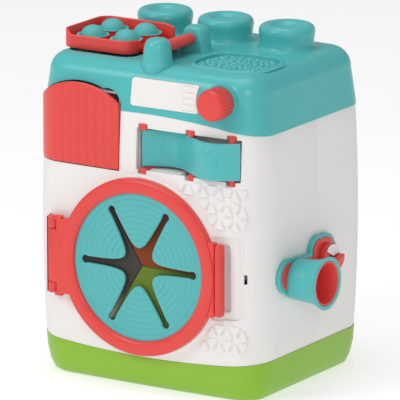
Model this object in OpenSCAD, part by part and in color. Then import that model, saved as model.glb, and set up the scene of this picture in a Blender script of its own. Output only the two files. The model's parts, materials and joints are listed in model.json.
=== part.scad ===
/* [Body] */
// Width of the body beside the door ring, on either side
cheek_w = 36; // [30:0.5:42]
// Depth of the body at its seams
body_d = 184; // [176:1:196]
// Plan radius of the upright corners
corner_r = 28; // [24:1:32]
// How far every side swells out at mid height
body_swell = 3; // [1:0.5:4]
// Extra bow of the front and back across their width
face_bow = 2.5; // [0:0.5:3]
// Wall of the moulded shells
wall = 3; // [2.4:0.1:3.4]
// Distance of the joint between front and rear shell behind the middle
split_y = 5.5; // [2:0.5:9]

/* [Base] */
// Height of the base tub
base_h = 36; // [32:1:40]
// How far the tub curves in towards the floor
base_tuck = 12; // [8:1:14]
// Dip of the front shell's lower edge into the tub
seam_dip = 7; // [4:0.5:9]

/* [Cap] */
// Wall left between the window and the seam of the cap
seam_gap = 2.7; // [1:0.1:6]
// Height of the cap from its seam to its deck
cap_h = 51; // [49:1:55]
// Rise of the front shell's upper edge into the cap
seam_rise = 10; // [6:0.5:11]
// Lean of the cap's walls towards the deck
cap_lean = 4; // [1:0.5:5]
// Round between the cap's walls and its deck
cap_round = 18; // [12:1:20]
// How far the cap's skirt stands out over the shells
cap_lap = 0.8; // [0:0.1:1.2]

/* [Studs] */
// Diameter of the block studs
stud_d = 49.6; // [46:0.2:52]
// Height of the block studs above the deck
stud_h = 21; // [18:0.5:24]
// Spacing of the block studs
stud_pitch = 63; // [60:0.5:64]
// Distance of the stud row behind the middle
stud_y = 41.4; // [38:0.2:44]

/* [Door] */
// How far the door ring reaches down over the base
door_dip = 3.4; // [1:0.2:6]
// Outer diameter of the door ring
ring_d = 158; // [150:1:162]
// Width of the ring's face
ring_w = 13.5; // [12:0.5:16]
// How far the ring stands out from its landing
ring_t = 8; // [6:0.5:10]
// How far the landing stands in front of the body's seams
landing = 6; // [5.6:0.1:7]
// Gap between the closed ring and its landing
door_gap = 0.4; // [0.3:0.1:0.8]
// Distance of the door's hinge pin outside the ring
hinge_out = 9; // [8:0.5:10]
// Diameter of the door's hinge pin
hinge_pin_d = 3.2; // [2.6:0.1:3.6]
// Height of the door's hinge plate
hinge_plate_h = 68; // [60:1:74]

/* [Star] */
// Arms of the slit in the soft panel
star_arms = 6; // [5:1:8]
// Distance of each slit's round end inside the ring's opening
star_rim = 10.3; // [8:0.1:14]
// Radius of the round end of a slit
slit_end_r = 3.5; // [2:0.1:4]
// Half width of a slit where it is narrowest
slit_neck = 2.2; // [1.4:0.1:2.6]
// Radius of the star over that of a petal tip
petal_ratio = 4.6; // [3.8:0.1:6]
// Grooves pressed round the soft panel
panel_grooves = 9; // [5:1:10]
// Thickness of the soft panel
panel_t = 2.4; // [2:0.1:3]

/* [Handle] */
// Height of the handle tab on the door
tab_h = 66; // [56:1:72]
// Width of the handle tab beyond the ring
tab_w = 9; // [7:0.5:11]
// Width of the framed recess beyond the ring
frame_out = 20.5; // [18:0.5:22]
// Height of the framed recess
frame_h = 75; // [72:1:80]
// Depth of the framed recess
frame_depth = 1.4; // [1:0.1:1.8]

/* [Flap] */
// Width of the corner flap's face from the body's side
flap_w = 91; // [87:0.5:95]
// How far the flap hangs below the seam of the cap
flap_hang = 43; // [39:1:47]
// Height of the flap at the top of its arch
flap_h = 73; // [66:1:75]
// Thickness of the flap
flap_t = 3; // [2.4:0.1:3.6]
// Gap round the flap
flap_gap = 0.8; // [0.5:0.1:1.2]
// Flutes on the flap's face
flutes = 8; // [5:1:9]
// Spacing of the flutes
flute_pitch = 8.8; // [7:0.1:9]
// Depth of the pocket behind the flap
pocket_deep = 34; // [26:1:38]

/* [Window] */
// Left edge of the window from the middle
window_x0 = -6; // [-8:0.5:-4]
// Right edge of the window from the middle
window_x1 = 98; // [94:0.5:99]
// Gap between the door ring and the window above it
window_gap = 6.7; // [5:0.1:9]
// Height of the window
window_h = 37; // [33:0.5:38]
// Depth of the tray behind the window
window_deep = 27; // [24:1:32]
// Swing of the wave band to either side of its posts
wave_amp = 12; // [8:0.5:13]
// Thickness of the wave band
band_t = 2; // [1.6:0.1:2.6]
// Height of the wave band
band_h = 32.5; // [28:0.5:34]
// Diameter of the posts that hold the wave band
post_d = 4.4; // [3.6:0.2:5]

/* [Dial] */
// Distance of the dial from the middle
dial_x = 77.4; // [75:0.2:80]
// Height of the dial above the seam of the cap
dial_rise = 29; // [27:0.2:30]
// Diameter of the dial
dial_d = 28; // [24:0.5:30]
// How far the dial stands out
dial_l = 18.5; // [14:0.5:22]
// Ribs round the dial
dial_ribs = 28; // [16:1:36]
// Diameter of the dial's shaft
dial_shaft_d = 7; // [5:0.5:9]
// Length of the inset plate beside the dial
plate_w = 69; // [60:1:70]
// Height of the inset plate
plate_h = 24.5; // [20:0.5:26]
// Thickness of the inset plate
plate_t = 1.6; // [1.2:0.1:2]

/* [Top tray] */
// Length of the tray on the deck
tray_l = 73; // [70:1:76]
// Width of the tray on the deck
tray_w = 69.5; // [67:0.5:71]
// Distance of the tray's centre left of the middle
tray_x = 68.5; // [67:0.5:70]
// Distance of the tray's centre in front of the middle
tray_y = 28.7; // [27.5:0.1:29.5]
// Height of the tray's walls at the back
tray_h = 16; // [14:0.5:18]
// How much lower the tray's front rim is
rim_drop = 4.1; // [2:0.1:5]
// Wall of the tray
tray_wall = 2.2; // [1.8:0.1:2.6]
// Distance of the tray's hinge right of the middle
pivot_x = 3; // [2:0.5:5]
// Height of the tray's hinge above the deck
pivot_h = 12; // [11:0.5:13]
// Diameter of the hinge barrel
barrel_d = 10; // [9:0.5:11]
// Diameter of the tray's axle
axle_d = 4; // [3:0.2:4.4]
// Distance between the flat faces of the two posts
post_gap = 46; // [42:1:48]
// Diameter of the posts at the deck
bollard_d = 26; // [24:0.5:27]
// Height of the posts
bollard_h = 23; // [21:0.5:26]
// Diameter of the push domes
dome_d = 22; // [19:0.5:24]
// Spacing of the push domes from side to side
dome_pitch = 34.6; // [33:0.2:35]
// Spacing of the push domes from front to back
dome_rows = 31.5; // [30:0.5:32]
// Travel of the push domes
dome_travel = 3; // [2:0.5:4]

/* [Basin] */
// Left edge of the basin on the deck
basin_x0 = 26; // [24:0.5:28]
// Right edge of the basin
basin_x1 = 95; // [92:0.5:96]
// Front edge of the basin, in front of the middle
basin_y0 = 67; // [64:0.5:68]
// Back edge of the basin, in front of the middle
basin_y1 = 7; // [4:0.5:9]
// Depth of the basin
basin_deep = 4; // [3:0.5:5]

/* [Side fitting] */
// Distance of the funnel in front of the middle
funnel_y = 39; // [37:0.5:40]
// Height of the funnel's axis
funnel_z = 104.5; // [103:0.5:107]
// Outer diameter of the funnel's mouth
mouth_d = 47.2; // [44:0.2:50]
// Outer diameter of the funnel at its root
root_d = 36; // [32:0.5:38]
// Length of the funnel
funnel_l = 30.5; // [26:0.5:36]
// Clear diameter of the chute inside the funnel
chute_d = 28; // [26:0.5:30]
// Diameter of the lower lobe of the backing plate
lobe_d = 30.6; // [28:0.2:34]
// Diameter of the upper lobe of the backing plate
crown_d = 39.6; // [36:0.2:42]
// Distance of the tap behind the middle
tap_y = 9.8; // [9:0.2:12]
// Height of the tap's axis
tap_z = 114.4; // [113:0.2:116]
// Diameter of the tap
tap_d = 24; // [22:0.5:25]
// How far the tap's grip stands out of its disc
grip_l = 7; // [5:0.5:9]

/* [Power] */
// Angle round the corner where the power switch sits
switch_angle = 29; // [25:1:33]
// Height of the power switch
switch_z = 112; // [108:1:116]
// Travel of the power switch
switch_travel = 3.4; // [2.5:0.1:4]
// Diameter of a battery cell
cell_d = 14.2; // [13.8:0.1:14.5]
// Length of a battery cell
cell_l = 50; // [49:0.1:50.5]

/* [Hidden] */
$fn = 48;

teal = [0.36, 0.73, 0.73];
white = [0.95, 0.93, 0.92];
green = [0.56, 0.76, 0.22];
red = [0.92, 0.33, 0.31];
steel = [0.72, 0.73, 0.75];
black = [0.10, 0.10, 0.11];

// Running clearance on the radius of pins and shafts
run = 0.08;
// Gap left between pieces that lie against each other
seat = 0.3;
// Space left behind a cut so that it comes out clean
cut = 0.5;

body_w = ring_d + 2 * cheek_w;
door_z = base_h + ring_d / 2 - door_dip;
window_z = door_z + ring_d / 2 + window_gap;
cap_z = window_z + window_h + seam_gap;
deck_z = cap_z + cap_h;
flap_z = cap_z - flap_hang;
dial_z = cap_z + dial_rise;
side_x = body_w / 2;
back_y = body_d / 2;
front_y = -back_y;
corner_y = front_y + corner_r;
shell_h = cap_z - base_h;
mid_z = (cap_z + base_h) / 2;
far = body_w;

// Height of a shallow arc over half the body's width, given as the radius of its circle
function arc_radius(rise) = (side_x * side_x + rise * rise) / (2 * rise);
// Swell of the side walls at a height
function swell(z) = body_swell * (1 - pow((z - mid_z) / (shell_h / 2), 2));
// Inward lean of the cap at a height below its round
function lean(z) = cap_lean * (z - cap_z) / (deck_z - cap_round - cap_z);
// Extra bow at a distance from the middle
function bow_at(x) = face_bow * (1 - pow(x / side_x, 2));

function corner(cx, cy, r, a0, n = 8) =
    [for (k = [0:n]) [cx + r * cos(a0 + 90 * k / n), cy + r * sin(a0 + 90 * k / n)]];
function plain_outline(w, d, r, m = 6) = concat(
    corner(w / 2 - r, d / 2 - r, r, 0),
    [for (k = [1:m - 1]) [(w / 2 - r) * (1 - 2 * k / m), d / 2]],
    corner(r - w / 2, d / 2 - r, r, 90),
    corner(r - w / 2, r - d / 2, r, 180),
    [for (k = [1:m - 1]) [(w / 2 - r) * (2 * k / m - 1), -d / 2]],
    corner(w / 2 - r, r - d / 2, r, 270));
// Body outline in plan, drawn in by an inset: rounded corners and bowed front and back
function outline(inset) = let (w = body_w - 2 * inset, d = body_d - 2 * inset, r = max(10, corner_r - inset))
    [for (p = plain_outline(w, d, r))
        [p[0], p[1] + sign(p[1]) * face_bow * (1 - pow(2 * p[0] / w, 2)) * max(0, abs(p[1]) - d / 2 + r) / r]];

module slice(z, inset) {
    translate([0, 0, z]) linear_extrude(0.02) polygon(outline(inset));
}

// Solid of the swelled body between the base and the cap, drawn in by an inset
module barrel(inset) {
    lowest = base_h - seam_dip - 1;
    highest = cap_z + seam_rise + 1;
    steps = 7;
    hull() for (k = [0:steps]) let (z = lowest + (highest - lowest) * k / steps)
        slice(z, inset - swell(z));
}

// Solid of the cap, drawn in by an inset and closed at a height
module cap_form(inset, top, low) {
    shoulder = top - cap_round;
    hull() {
        slice(low, inset - cap_lap + lean(low) * (low > cap_z ? 1 : 0));
        slice(shoulder, inset + cap_lean);
        for (a = [30:30:90])
            slice(shoulder + cap_round * sin(a), inset + cap_lean + cap_round * (1 - cos(a)));
    }
}

// Solid of the base tub, drawn in by an inset above a floor height
module tub_form(inset, floor_z, top) {
    hull() {
        for (a = [22.5:22.5:90]) let (z = base_h * (1 - sin(a)))
            slice(max(z, floor_z), inset - cap_lap * 0.5 + base_tuck * (1 - cos(a)));
        slice(base_h - 0.02, inset - cap_lap * 0.5);
        slice(top - 0.02, inset - cap_lap * 0.5);
    }
}

// Cylinder along Y, from y0 forwards to y1
module y_rod(x, y0, y1, z, d) {
    translate([x, y0, z]) rotate([90, 0, 0]) cylinder(d = d, h = y0 - y1);
}

// Cylinder along X
module x_rod(x0, x1, y, z, d) {
    translate([x0, y, z]) rotate([0, 90, 0]) cylinder(d = d, h = x1 - x0);
}

// Stands a turned or flat piece on a plane facing forwards, its Z along the view out of the door
module face_on(x, y, z) {
    translate([x, y, z]) rotate([90, 0, 0]) children();
}

module rounded(w, h, r) {
    square([w - 2 * r, h], center = true);
    square([w, h - 2 * r], center = true);
    for (sx = [-1, 1], sy = [-1, 1]) translate([sx * (w / 2 - r), sy * (h / 2 - r)]) circle(r);
}

// Arched zone of the front shell above its upper seam
module apron_rise() {
    r = arc_radius(seam_rise);
    intersection() {
        translate([0, corner_y, cap_z + seam_rise - r]) rotate([90, 0, 0]) cylinder(r = r, h = 60, $fn = 720);
        translate([-far / 2, corner_y - 60, cap_z]) cube([far, 60, seam_rise + 1]);
    }
}

// Arched zone of the front shell below its lower seam
module apron_dip(extra = 0) {
    r = arc_radius(seam_dip);
    intersection() {
        translate([0, corner_y, base_h - seam_dip + r]) rotate([90, 0, 0]) cylinder(r = r, h = 60, $fn = 720);
        translate([-far / 2, corner_y - 60, base_h - seam_dip - 1]) cube([far, 60, seam_dip + 1 + extra]);
    }
}

/* Door: planes are given as distances along -Y, outwards */
land_y = front_y - landing;
ring_back = land_y - door_gap;
lip_t = 4;
pinch = 3.6;
panel_back = ring_back - ring_t + lip_t + panel_t;
veil_t = 0.8;
port_d = ring_d - 2 * ring_w;
rebate_r = port_d / 2 + pinch;
ring_r = ring_d / 2;
hinge_x = ring_r + hinge_out;
frame_x = ring_r + frame_out;
star_r = port_d / 2 - star_rim;
petal_tip_r = star_r / petal_ratio;
land_r = ring_r + 1;
port_r = rebate_r + 1;
collar_y = front_y + 4;
hinge_y = land_y - 3.5;
hinge_r = 4.5;
lug_h = hinge_plate_h * 0.7;
lug_t = 2 * hinge_r - 1.4;

/* Flap */
flap_out = 2.4;
flap_left_y = front_y + corner_r + 6;
flap_barrel_r = 3.5;
flap_pin_d = 2.6;
flap_pin_x = -(side_x + flap_out - flap_barrel_r);
flap_pin_y = flap_left_y + flap_barrel_r;
arch_r = 68;
flap_x = side_x - flap_w;
arch_x = 49 - side_x;
flap_notch = [-flap_x - 14, cap_z + 13.5, 14];
flap_top = flap_z + flap_h;
arch_side_z = flap_top - arch_r + sqrt(arch_r * arch_r - pow(side_x + arch_x, 2));

// Front view of the flap, grown by a gap
module flap_front(grow) {
    edge_r = 12;
    intersection() {
        translate([arch_x, flap_top - arch_r]) circle(r = arch_r + grow, $fn = 180);
        union() {
            translate([-side_x - 10, flap_z - grow]) square([side_x + 10 - flap_x + grow - edge_r, flap_h + 20]);
            translate([-side_x - 10, flap_z - grow])
                square([side_x + 10 - flap_x + grow, arch_side_z - flap_z + 4 + grow]);
            translate([-flap_x + grow - edge_r, arch_side_z + 4]) circle(edge_r);
        }
    }
}

// Zone taken out of the shells for the flap
module flap_opening() {
    translate([0, flap_left_y + 2 * flap_barrel_r + flap_gap, 0]) rotate([90, 0, 0])
        linear_extrude(60) {
            flap_front(flap_gap);
            // finger gap at the flap's free upper corner
            translate([flap_notch[0], flap_notch[1]]) circle(flap_notch[2], $fn = 96);
        }
}

/* Window */
window_w = window_x1 - window_x0;
wave_x = (window_x0 + window_x1) / 2 + 1.5;
wave_l = window_w - 4.5;
post_xs = [window_x0 + 9, wave_x - 0.5, window_x1 - 6];
notch_w = 9;
notch_h = 3.6;
band_z = window_z + (window_h - band_h) / 2;
function wave_y(x) = front_y - wave_amp * sin(360 * (x - wave_x) / wave_l);
function wave_slope(x) = -wave_amp * 2 * PI / wave_l * cos(360 * (x - wave_x) / wave_l);
notch_z = window_z - notch_h;
notch_z1 = window_z + window_h + notch_h;
function post_at(x) = wave_side(x, band_t / 2 + post_d / 2 + 0.1);
function wave_side(x, off) = let (s = wave_slope(x), n = sqrt(1 + s * s))
    [x - off * s / n, wave_y(x) + off / n];

/* Dial */
dial_y = front_y - 0.4;
plate_a = atan(cap_lean / (deck_z - cap_round - cap_z));
plate_x = dial_x - dial_d / 2 - plate_w / 2 + 7;
plate_z = dial_z - 1;
plate_y = front_y + lean(plate_z) - bow_at(plate_x);

/* Tray on the deck */
tray_z = deck_z + 0.5;
pivot_z = deck_z + pivot_h;
post_mid_y = -tray_y - 14.8;
bollard_gap = (post_gap + 17) / 2;
pocket_deep_top = 3;
pocket_w = tray_l - 4;
pocket_d = tray_w + 8;
pocket_x = -tray_x + 6;
pocket_y = -tray_y - 2.5;
tray_round = 12;
collar_d = dome_d + 6;
collar_h = 2.2;
function dome_x(k) = -tray_x + 1 + (k % 2 == 0 ? -1 : 1) * dome_pitch / 2;
function dome_y(k) = -tray_y + 2 + (k < 2 ? -1 : 1) * dome_rows / 2;

/* Side fitting */
seat_x = side_x + body_swell;
plate_out = seat_x + 4;
inlay_out = plate_out + 1;
disc_out = inlay_out + 6;
liner_t = 1.6;
// Round lobes of the backing plate: distance behind the middle, height, radius, share of a shrink
plate_lobes = [
    [-funnel_y - 12.3, funnel_z + 4.5, lobe_d / 2, 1],
    [-funnel_y, funnel_z, root_d / 2 - 0.7, 0.1],
    [tap_y - 0.8, tap_z + 0.6, crown_d / 2, 1],
    [tap_y - 10.3, tap_z + 6.6, crown_d / 2 - 5.6, 1]];
chute_in = port_r - 3;

/* Base and power */
floor_t = wall;
cells = 3;
cell_pitch = cell_d + 1.2;
bay_w = cell_l + 8;
bay_d = cells * cell_pitch + 3;
bay_y = 46;
corner_cx = side_x - corner_r;
switch_r = corner_r + swell(switch_z);

module base_tub() {
    color(green) difference() {
        tub_form(0, 0, base_h);
        tub_form(wall, floor_t, base_h + 2);
        apron_dip(1);
        translate([-bay_w / 2, bay_y - bay_d / 2, -cut]) cube([bay_w, bay_d, floor_t + 2 * cut]);
        translate([-bay_w / 2 - 4, bay_y - bay_d / 2 - 4, -2 * cut]) cube([bay_w + 8, bay_d + 8, 2 + 2 * cut]);
    }
}

module front_shell() {
    color(white) difference() {
        union() {
            intersection() {
                difference() {
                    barrel(0);
                    barrel(wall);
                }
                union() {
                    translate([-far, -far + split_y, base_h]) cube([2 * far, far, shell_h]);
                    apron_rise();
                    apron_dip();
                }
            }
            face_on(0, collar_y, door_z) difference() {
                cylinder(r = land_r, h = collar_y - land_y, $fn = 96);
                translate([0, 0, -cut]) cylinder(r = port_r, h = landing + 8, $fn = 96);
            }
            // pivot boss under the flap
            translate([flap_pin_x, flap_pin_y, flap_z - 9]) cylinder(d = 8, h = 9 - flap_gap);
            // cup behind the handle tab
            translate([ring_r - 1, front_y - 1.5, door_z - tab_h / 2 + 1]) cube([13, 5, tab_h - 2]);
        }
        face_on(0, collar_y + 10, door_z) cylinder(r = port_r, h = 40, $fn = 96);
        flap_opening();
        translate([flap_pin_x, flap_pin_y, flap_z - 7]) cylinder(d = flap_pin_d, h = 10);
        // window with its notches
        translate([window_x0, front_y - 10, window_z]) cube([window_w, 20, window_h]);
        for (x = post_xs) translate([post_at(x)[0] - notch_w + 3.5, front_y - 10, notch_z])
            cube([notch_w, 20, notch_z1 - notch_z]);
        // framed recess and finger slot beside the door
        difference() {
            translate([0, front_y - 10, door_z - 1]) rotate([-90, 0, 0]) linear_extrude(22)
                translate([frame_x / 2, 0]) rounded(frame_x, frame_h, 6);
            barrel(frame_depth);
            face_on(0, collar_y, door_z) cylinder(r = land_r, h = 30, $fn = 96);
        }
        face_on(ring_r + 5.5, front_y + 1.5, door_z) linear_extrude(12) rounded(9, tab_h - 6, 3);
        // slot for the power switch
        translate([corner_cx, corner_y, switch_z]) rotate([0, 0, switch_angle])
            translate([-2, -switch_r - 2, -4.2]) cube([4, 8, 8.4]);
        // way in for the chute
        x_rod(side_x - 10, side_x + 10, -funnel_y, funnel_z, chute_d + 2 * liner_t + 2 * seat);
    }
}

module rear_shell() {
    color(white) difference() {
        union() {
            intersection() {
                difference() {
                    barrel(0);
                    barrel(wall);
                }
                translate([-far, split_y, base_h]) cube([2 * far, far, shell_h]);
            }
            for (sx = [-1, 1], z = screw_zs) y_rod(sx * screw_x, back_y - 3, back_y - 16, z, 12);
        }
        for (sx = [-1, 1], z = screw_zs) {
            y_rod(sx * screw_x, back_y + 10, back_y - 8, z, 8);
            y_rod(sx * screw_x, back_y, back_y - 30, z, screw_d);
        }
        x_rod(side_x - 10, side_x + 10, tap_y, tap_z, 2 * tap_shaft_r + 2 * run);
    }
}
screw_x = side_x - 20;
screw_zs = [base_h + 22, cap_z - 22];
screw_d = 3;
tap_shaft_r = 3;

// Rounded stud with a dished top, hollow below
module stud() {
    r = stud_d / 2;
    h = stud_h;
    t = 4;
    rotate_extrude($fn = 64) polygon(concat(
        [[r - 2.6, -wall], [r, -wall], [r, 0], [r, h - 7]],
        [for (a = [20:20:90]) [r - 6 + 6 * cos(a), h - 7 + 7 * sin(a)]],
        [for (a = [90:-20:10]) [r * 0.42 + (r * 0.58 - 6) * sin(a), h - 5 * cos(a) * cos(a)]],
        [[0, h - 5], [0, h - 5 - t], [r - 9, h - 3 - t], [r - 2.6, h - 12]]));
}

// Half-round post with a flat inner face; side is -1 in front and 1 behind
module bollard(side) {
    y = post_mid_y + side * bollard_gap;
    r = bollard_d / 2;
    h = bollard_h;
    intersection() {
        translate([pivot_x, y, deck_z - 1]) rotate_extrude($fn = 64) polygon(concat(
            [[0, -11], [r - 5, -11], [r - 1, -4.5], [r + 2.5, 0], [r + 0.9, 1.2], [r, 3]],
            [for (a = [0:15:90]) [(r - 7.5) + 5 * cos(a) - (h - 6) * 0.02, h - 5 + 6 * sin(a)]],
            [[0, h + 1]]));
        translate([pivot_x - far / 2, side > 0 ? post_mid_y + post_gap / 2 : post_mid_y - post_gap / 2 - far, 0])
            cube([far, far, far * 2]);
    }
}

module top_cap() {
    color(teal) difference() {
        union() {
            difference() {
                intersection() {
                    cap_form(0, deck_z, cap_z);
                    translate([-far, -far, cap_z]) cube([2 * far, 2 * far, far]);
                }
                cap_form(wall, deck_z - wall, cap_z - 1);
                for (k = [-1:1]) translate([k * stud_pitch, stud_y, deck_z - 2 * wall])
                    cylinder(d = stud_d - 1, h = 3 * wall);
            }
            for (k = [-1:1]) translate([k * stud_pitch, stud_y, deck_z]) stud();
            bollard(-1);
            bollard(1);
            // flat seats for the dial and the inset plate
            y_rod(dial_x, front_y + 6, front_y + 0.2, dial_z, dial_d + 3);
            y_rod(dial_x, front_y + 13, front_y + 4, dial_z, dial_shaft_d + 5);
            // sunken floors under the tray and the basin
            translate([pocket_x, pocket_y, deck_z - pocket_deep_top - wall])
                linear_extrude(wall + 0.3) rounded(pocket_w + 4, pocket_d + 4, tray_round);
            translate([(basin_x0 + basin_x1) / 2, -(basin_y1 + basin_y0) / 2, deck_z - basin_deep - wall])
                linear_extrude(basin_deep + wall + 1.4)
                rounded(basin_x1 - basin_x0 + 5, basin_y0 - basin_y1 + 5, 24);
            // pivot boss over the flap
            translate([flap_pin_x, flap_pin_y, arch_side_z + flap_gap + 0.2]) cylinder(d = 8, h = 9);
            // bosses for the circuit board
            for (x = board_xs, y = board_ys) translate([x, y, board_z]) cylinder(d = 7, h = deck_z - 4 - board_z);
        }
        apron_rise();
        flap_opening();
        translate([flap_pin_x, flap_pin_y, arch_side_z]) cylinder(d = flap_pin_d, h = 8);
        translate([pocket_x, pocket_y, deck_z - pocket_deep_top])
            linear_extrude(pocket_deep_top + 3) rounded(pocket_w, pocket_d, tray_round);
        translate([(basin_x0 + basin_x1) / 2, -(basin_y1 + basin_y0) / 2, deck_z - basin_deep])
            linear_extrude(basin_deep + 3) rounded(basin_x1 - basin_x0, basin_y0 - basin_y1, 22);
        y_rod(dial_x, front_y + 20, front_y - 5, dial_z, dial_shaft_d + 2 * run);
        plate_slab(0.1, plate_t + 0.2, plate_t + 3);
        y_rod(pivot_x, post_mid_y + bollard_gap + 6, post_mid_y - bollard_gap - 6, pivot_z, axle_d);
        for (x = board_xs, y = board_ys) translate([x, y, board_z - cut]) cylinder(d = 2, h = 8);
    }
}
board_z = 262;
board_xs = [30, 84];
board_ys = [-50, -8];

// Inset plate's slab, leaning with the cap: grown by a gap, from a depth below the face, of a thickness
module plate_slab(grow, depth, t) {
    difference() {
        translate([plate_x, plate_y, plate_z]) rotate([90 - plate_a, 0, 0]) translate([0, 0, -depth])
            linear_extrude(t) rounded(plate_w + 2 * grow, plate_h + 2 * grow, 4);
        y_rod(dial_x, front_y + 30, front_y - 30, dial_z, dial_d + 5 - 2 * grow);
    }
}

module inset_plate() {
    color(white) difference() {
        plate_slab(0, plate_t + 0.15, plate_t + 0.6);
        for (k = [-2:2]) translate([dial_x - dial_d / 2 - 17, plate_y - 8, plate_z + 5 * k - 0.3])
            cube([9.5, 7.8 - 0.25, 0.7]);
    }
}

module laundry_tub() {
    r = port_r + 2;
    deep = 118;
    color(white) difference() {
        union() {
            face_on(0, collar_y + deep, door_z) cylinder(r = r, h = deep, $fn = 96);
            face_on(0, collar_y + 2, door_z) cylinder(r = land_r - 2, h = 2, $fn = 96);
        }
        face_on(0, collar_y + deep - 2, door_z) cylinder(r = r - 2, h = deep + 10, $fn = 96);
        x_rod(chute_in - 20, side_x, -funnel_y, funnel_z, chute_d + 2 * liner_t + 2 * seat);
    }
}

/* Door */
module door_ring() {
    back = lip_t + panel_t + veil_t;
    color(red) difference() {
        union() {
            face_on(0, ring_back, door_z) rotate_extrude($fn = 128) polygon(concat(
                [[ring_r, 0], [ring_r, ring_t - 4]],
                [for (a = [15:15:90]) [ring_r - 4 + 4 * cos(a), ring_t - 4 + 4 * sin(a)]],
                [[port_d / 2 + 3, ring_t]],
                [for (a = [15:15:90]) [port_d / 2 + 3 - 3 * sin(a), ring_t - 3 + 3 * cos(a)]],
                [[port_d / 2, ring_t - lip_t], [rebate_r, ring_t - lip_t], [rebate_r, 0]]));
            // hinge lug reaching out to the pin
            translate([-hinge_x, hinge_y, door_z - lug_h / 2]) cylinder(r = hinge_r, h = lug_h);
            difference() {
                union() {
                    translate([-hinge_x, hinge_y - hinge_r, door_z - lug_h / 2])
                        cube([hinge_x - rebate_r - 2, lug_t, lug_h]);
                    translate([-hinge_x + hinge_r + 0.8, hinge_y - hinge_r, door_z - hinge_plate_h / 2 + 0.5])
                        cube([hinge_x - hinge_r - 0.8 - rebate_r - 2, lug_t, hinge_plate_h - 1]);
                }
                face_on(0, ring_back + 1, door_z) cylinder(r = rebate_r + 1, h = ring_t + 4, $fn = 128);
            }
        }
        translate([-hinge_x, hinge_y, door_z - far / 2]) cylinder(d = hinge_pin_d + 2 * run, h = far);
    }
}

// Radius of a petal's edge at an angle from its middle line
function petal_edge(phi, half) = (petal_tip_r + 0.6) * pow(1 - pow(phi / half, 2), -0.43);
function petal_point(axis, phi, half) = 2 * slit_neck * [cos(axis), sin(axis)]
    + petal_edge(abs(phi), half) * [cos(axis + phi), sin(axis + phi)];
// Closed outline of the star-shaped slit
function star_points() = let (half = 180 / star_arms, last = half * 0.975)
    [for (k = [0:star_arms - 1]) let (a = 2 * half * k) each concat(
        [for (t = [0:8]) petal_point(a - half, last * sin(90 * t / 8), half)],
        [for (t = [-125:25:125]) star_r * [cos(a), sin(a)] + slit_end_r * [cos(a + t), sin(a + t)]],
        [for (t = [8:-1:1]) petal_point(a + half, -last * sin(90 * t / 8), half)])];
// Face of the soft panel: a flat rim, then rounded grooves towards the middle
function panel_face(r0, r1) = let (n = panel_grooves * 4, groove_w = (r1 - r0) / panel_grooves)
    [for (k = [0:n]) let (r = r1 - (r1 - r0) * k / n) [r, panel_t - 0.45 * (1 - cos(360 * (r1 - r) / groove_w))]];

module star_panel() {
    inner = petal_tip_r + 3;
    color(teal) face_on(0, panel_back, door_z) difference() {
        rotate_extrude($fn = 128) polygon(concat(
            [[inner, 0], [rebate_r - 0.2, 0], [rebate_r - 0.2, panel_t - 0.1]],
            panel_face(inner + 1, port_d / 2 - 2), [[inner, panel_t]]));
        translate([0, 0, -cut]) linear_extrude(panel_t + 2 * cut) polygon(star_points());
    }
}

module panel_retainer() {
    color(red) face_on(0, panel_back + veil_t + 4.6, door_z) difference() {
        cylinder(r = rebate_r - 0.2, h = 4.5, $fn = 96);
        translate([0, 0, -cut]) cylinder(r = port_d / 2 - 1, h = 6, $fn = 96);
    }
}

// One third of the soft veil behind the star, a shallow funnel towards the middle
module veil(a0) {
    sag = 4;
    gap = 0.3;
    r = rebate_r - 0.4;
    face_on(0, panel_back + veil_t + 0.05, door_z) intersection() {
        rotate_extrude($fn = 96) polygon([[0, -sag], [r - 8, 0], [r, 0], [r, veil_t], [r - 8, veil_t], [0, veil_t - sag]]);
        translate([0, 0, -10]) linear_extrude(20) polygon([
            gap * [cos(a0 + 60), sin(a0 + 60)] * 2,
            2 * r * [cos(a0 + 0.3), sin(a0 + 0.3)], 2 * r * [cos(a0 + 60), sin(a0 + 60)],
            2 * r * [cos(a0 + 119.7), sin(a0 + 119.7)]]);
    }
}
module veil_white() { color(white) veil(120); }
module veil_red() { color(red) veil(0); }
module veil_green() { color(green) veil(240); }

module handle_tab() {
    color(red) difference() {
        face_on(0, ring_back, door_z) linear_extrude(ring_t - 2)
            translate([ring_r - 1.4 + tab_w / 2 - 5, 0]) rounded(tab_w + 10, tab_h, 3);
        face_on(0, ring_back + 1, door_z) cylinder(r = ring_r, h = ring_t + 4, $fn = 128);
        // finger groove between ring and tab
        translate([ring_r - 4.4, ring_back - ring_t - 1, door_z - far / 2]) cube([3, 5, far]);
    }
}

module hinge_bracket() {
    z0 = door_z - hinge_plate_h / 2;
    knuckle = (hinge_plate_h - lug_h) / 2 - seat;
    plate_l = 11.5;
    color(red) difference() {
        union() {
            for (z = [z0, z0 + hinge_plate_h - knuckle]) {
                translate([-hinge_x, hinge_y, z]) cylinder(r = hinge_r, h = knuckle);
                translate([-hinge_x - 6, hinge_y - hinge_r, z]) cube([6, 2 * hinge_r + 8, knuckle]);
            }
            translate([-hinge_x - plate_l, hinge_y - hinge_r, z0])
                cube([plate_l - hinge_r - 0.8, 2 * hinge_r + 12, hinge_plate_h]);
        }
        barrel(-0.05);
        translate([-hinge_x, hinge_y, z0 - 1]) cylinder(d = hinge_pin_d, h = hinge_plate_h + 2);
        face_on(0, ring_back + 20, door_z) cylinder(r = land_r + seat, h = 20.2, $fn = 128);
    }
}

module door_pin() {
    color(steel) translate([-hinge_x, hinge_y, door_z - hinge_plate_h / 2])
        cylinder(d = hinge_pin_d - 0.02, h = hinge_plate_h);
}

/* Corner flap */
module flap_plan(inset, t) {
    difference() {
        polygon(outline(inset));
        polygon(outline(inset + t));
        translate([-far, flap_left_y]) square([2 * far, far]);
        translate([0, -far]) square([far, 2 * far]);
    }
}

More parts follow.
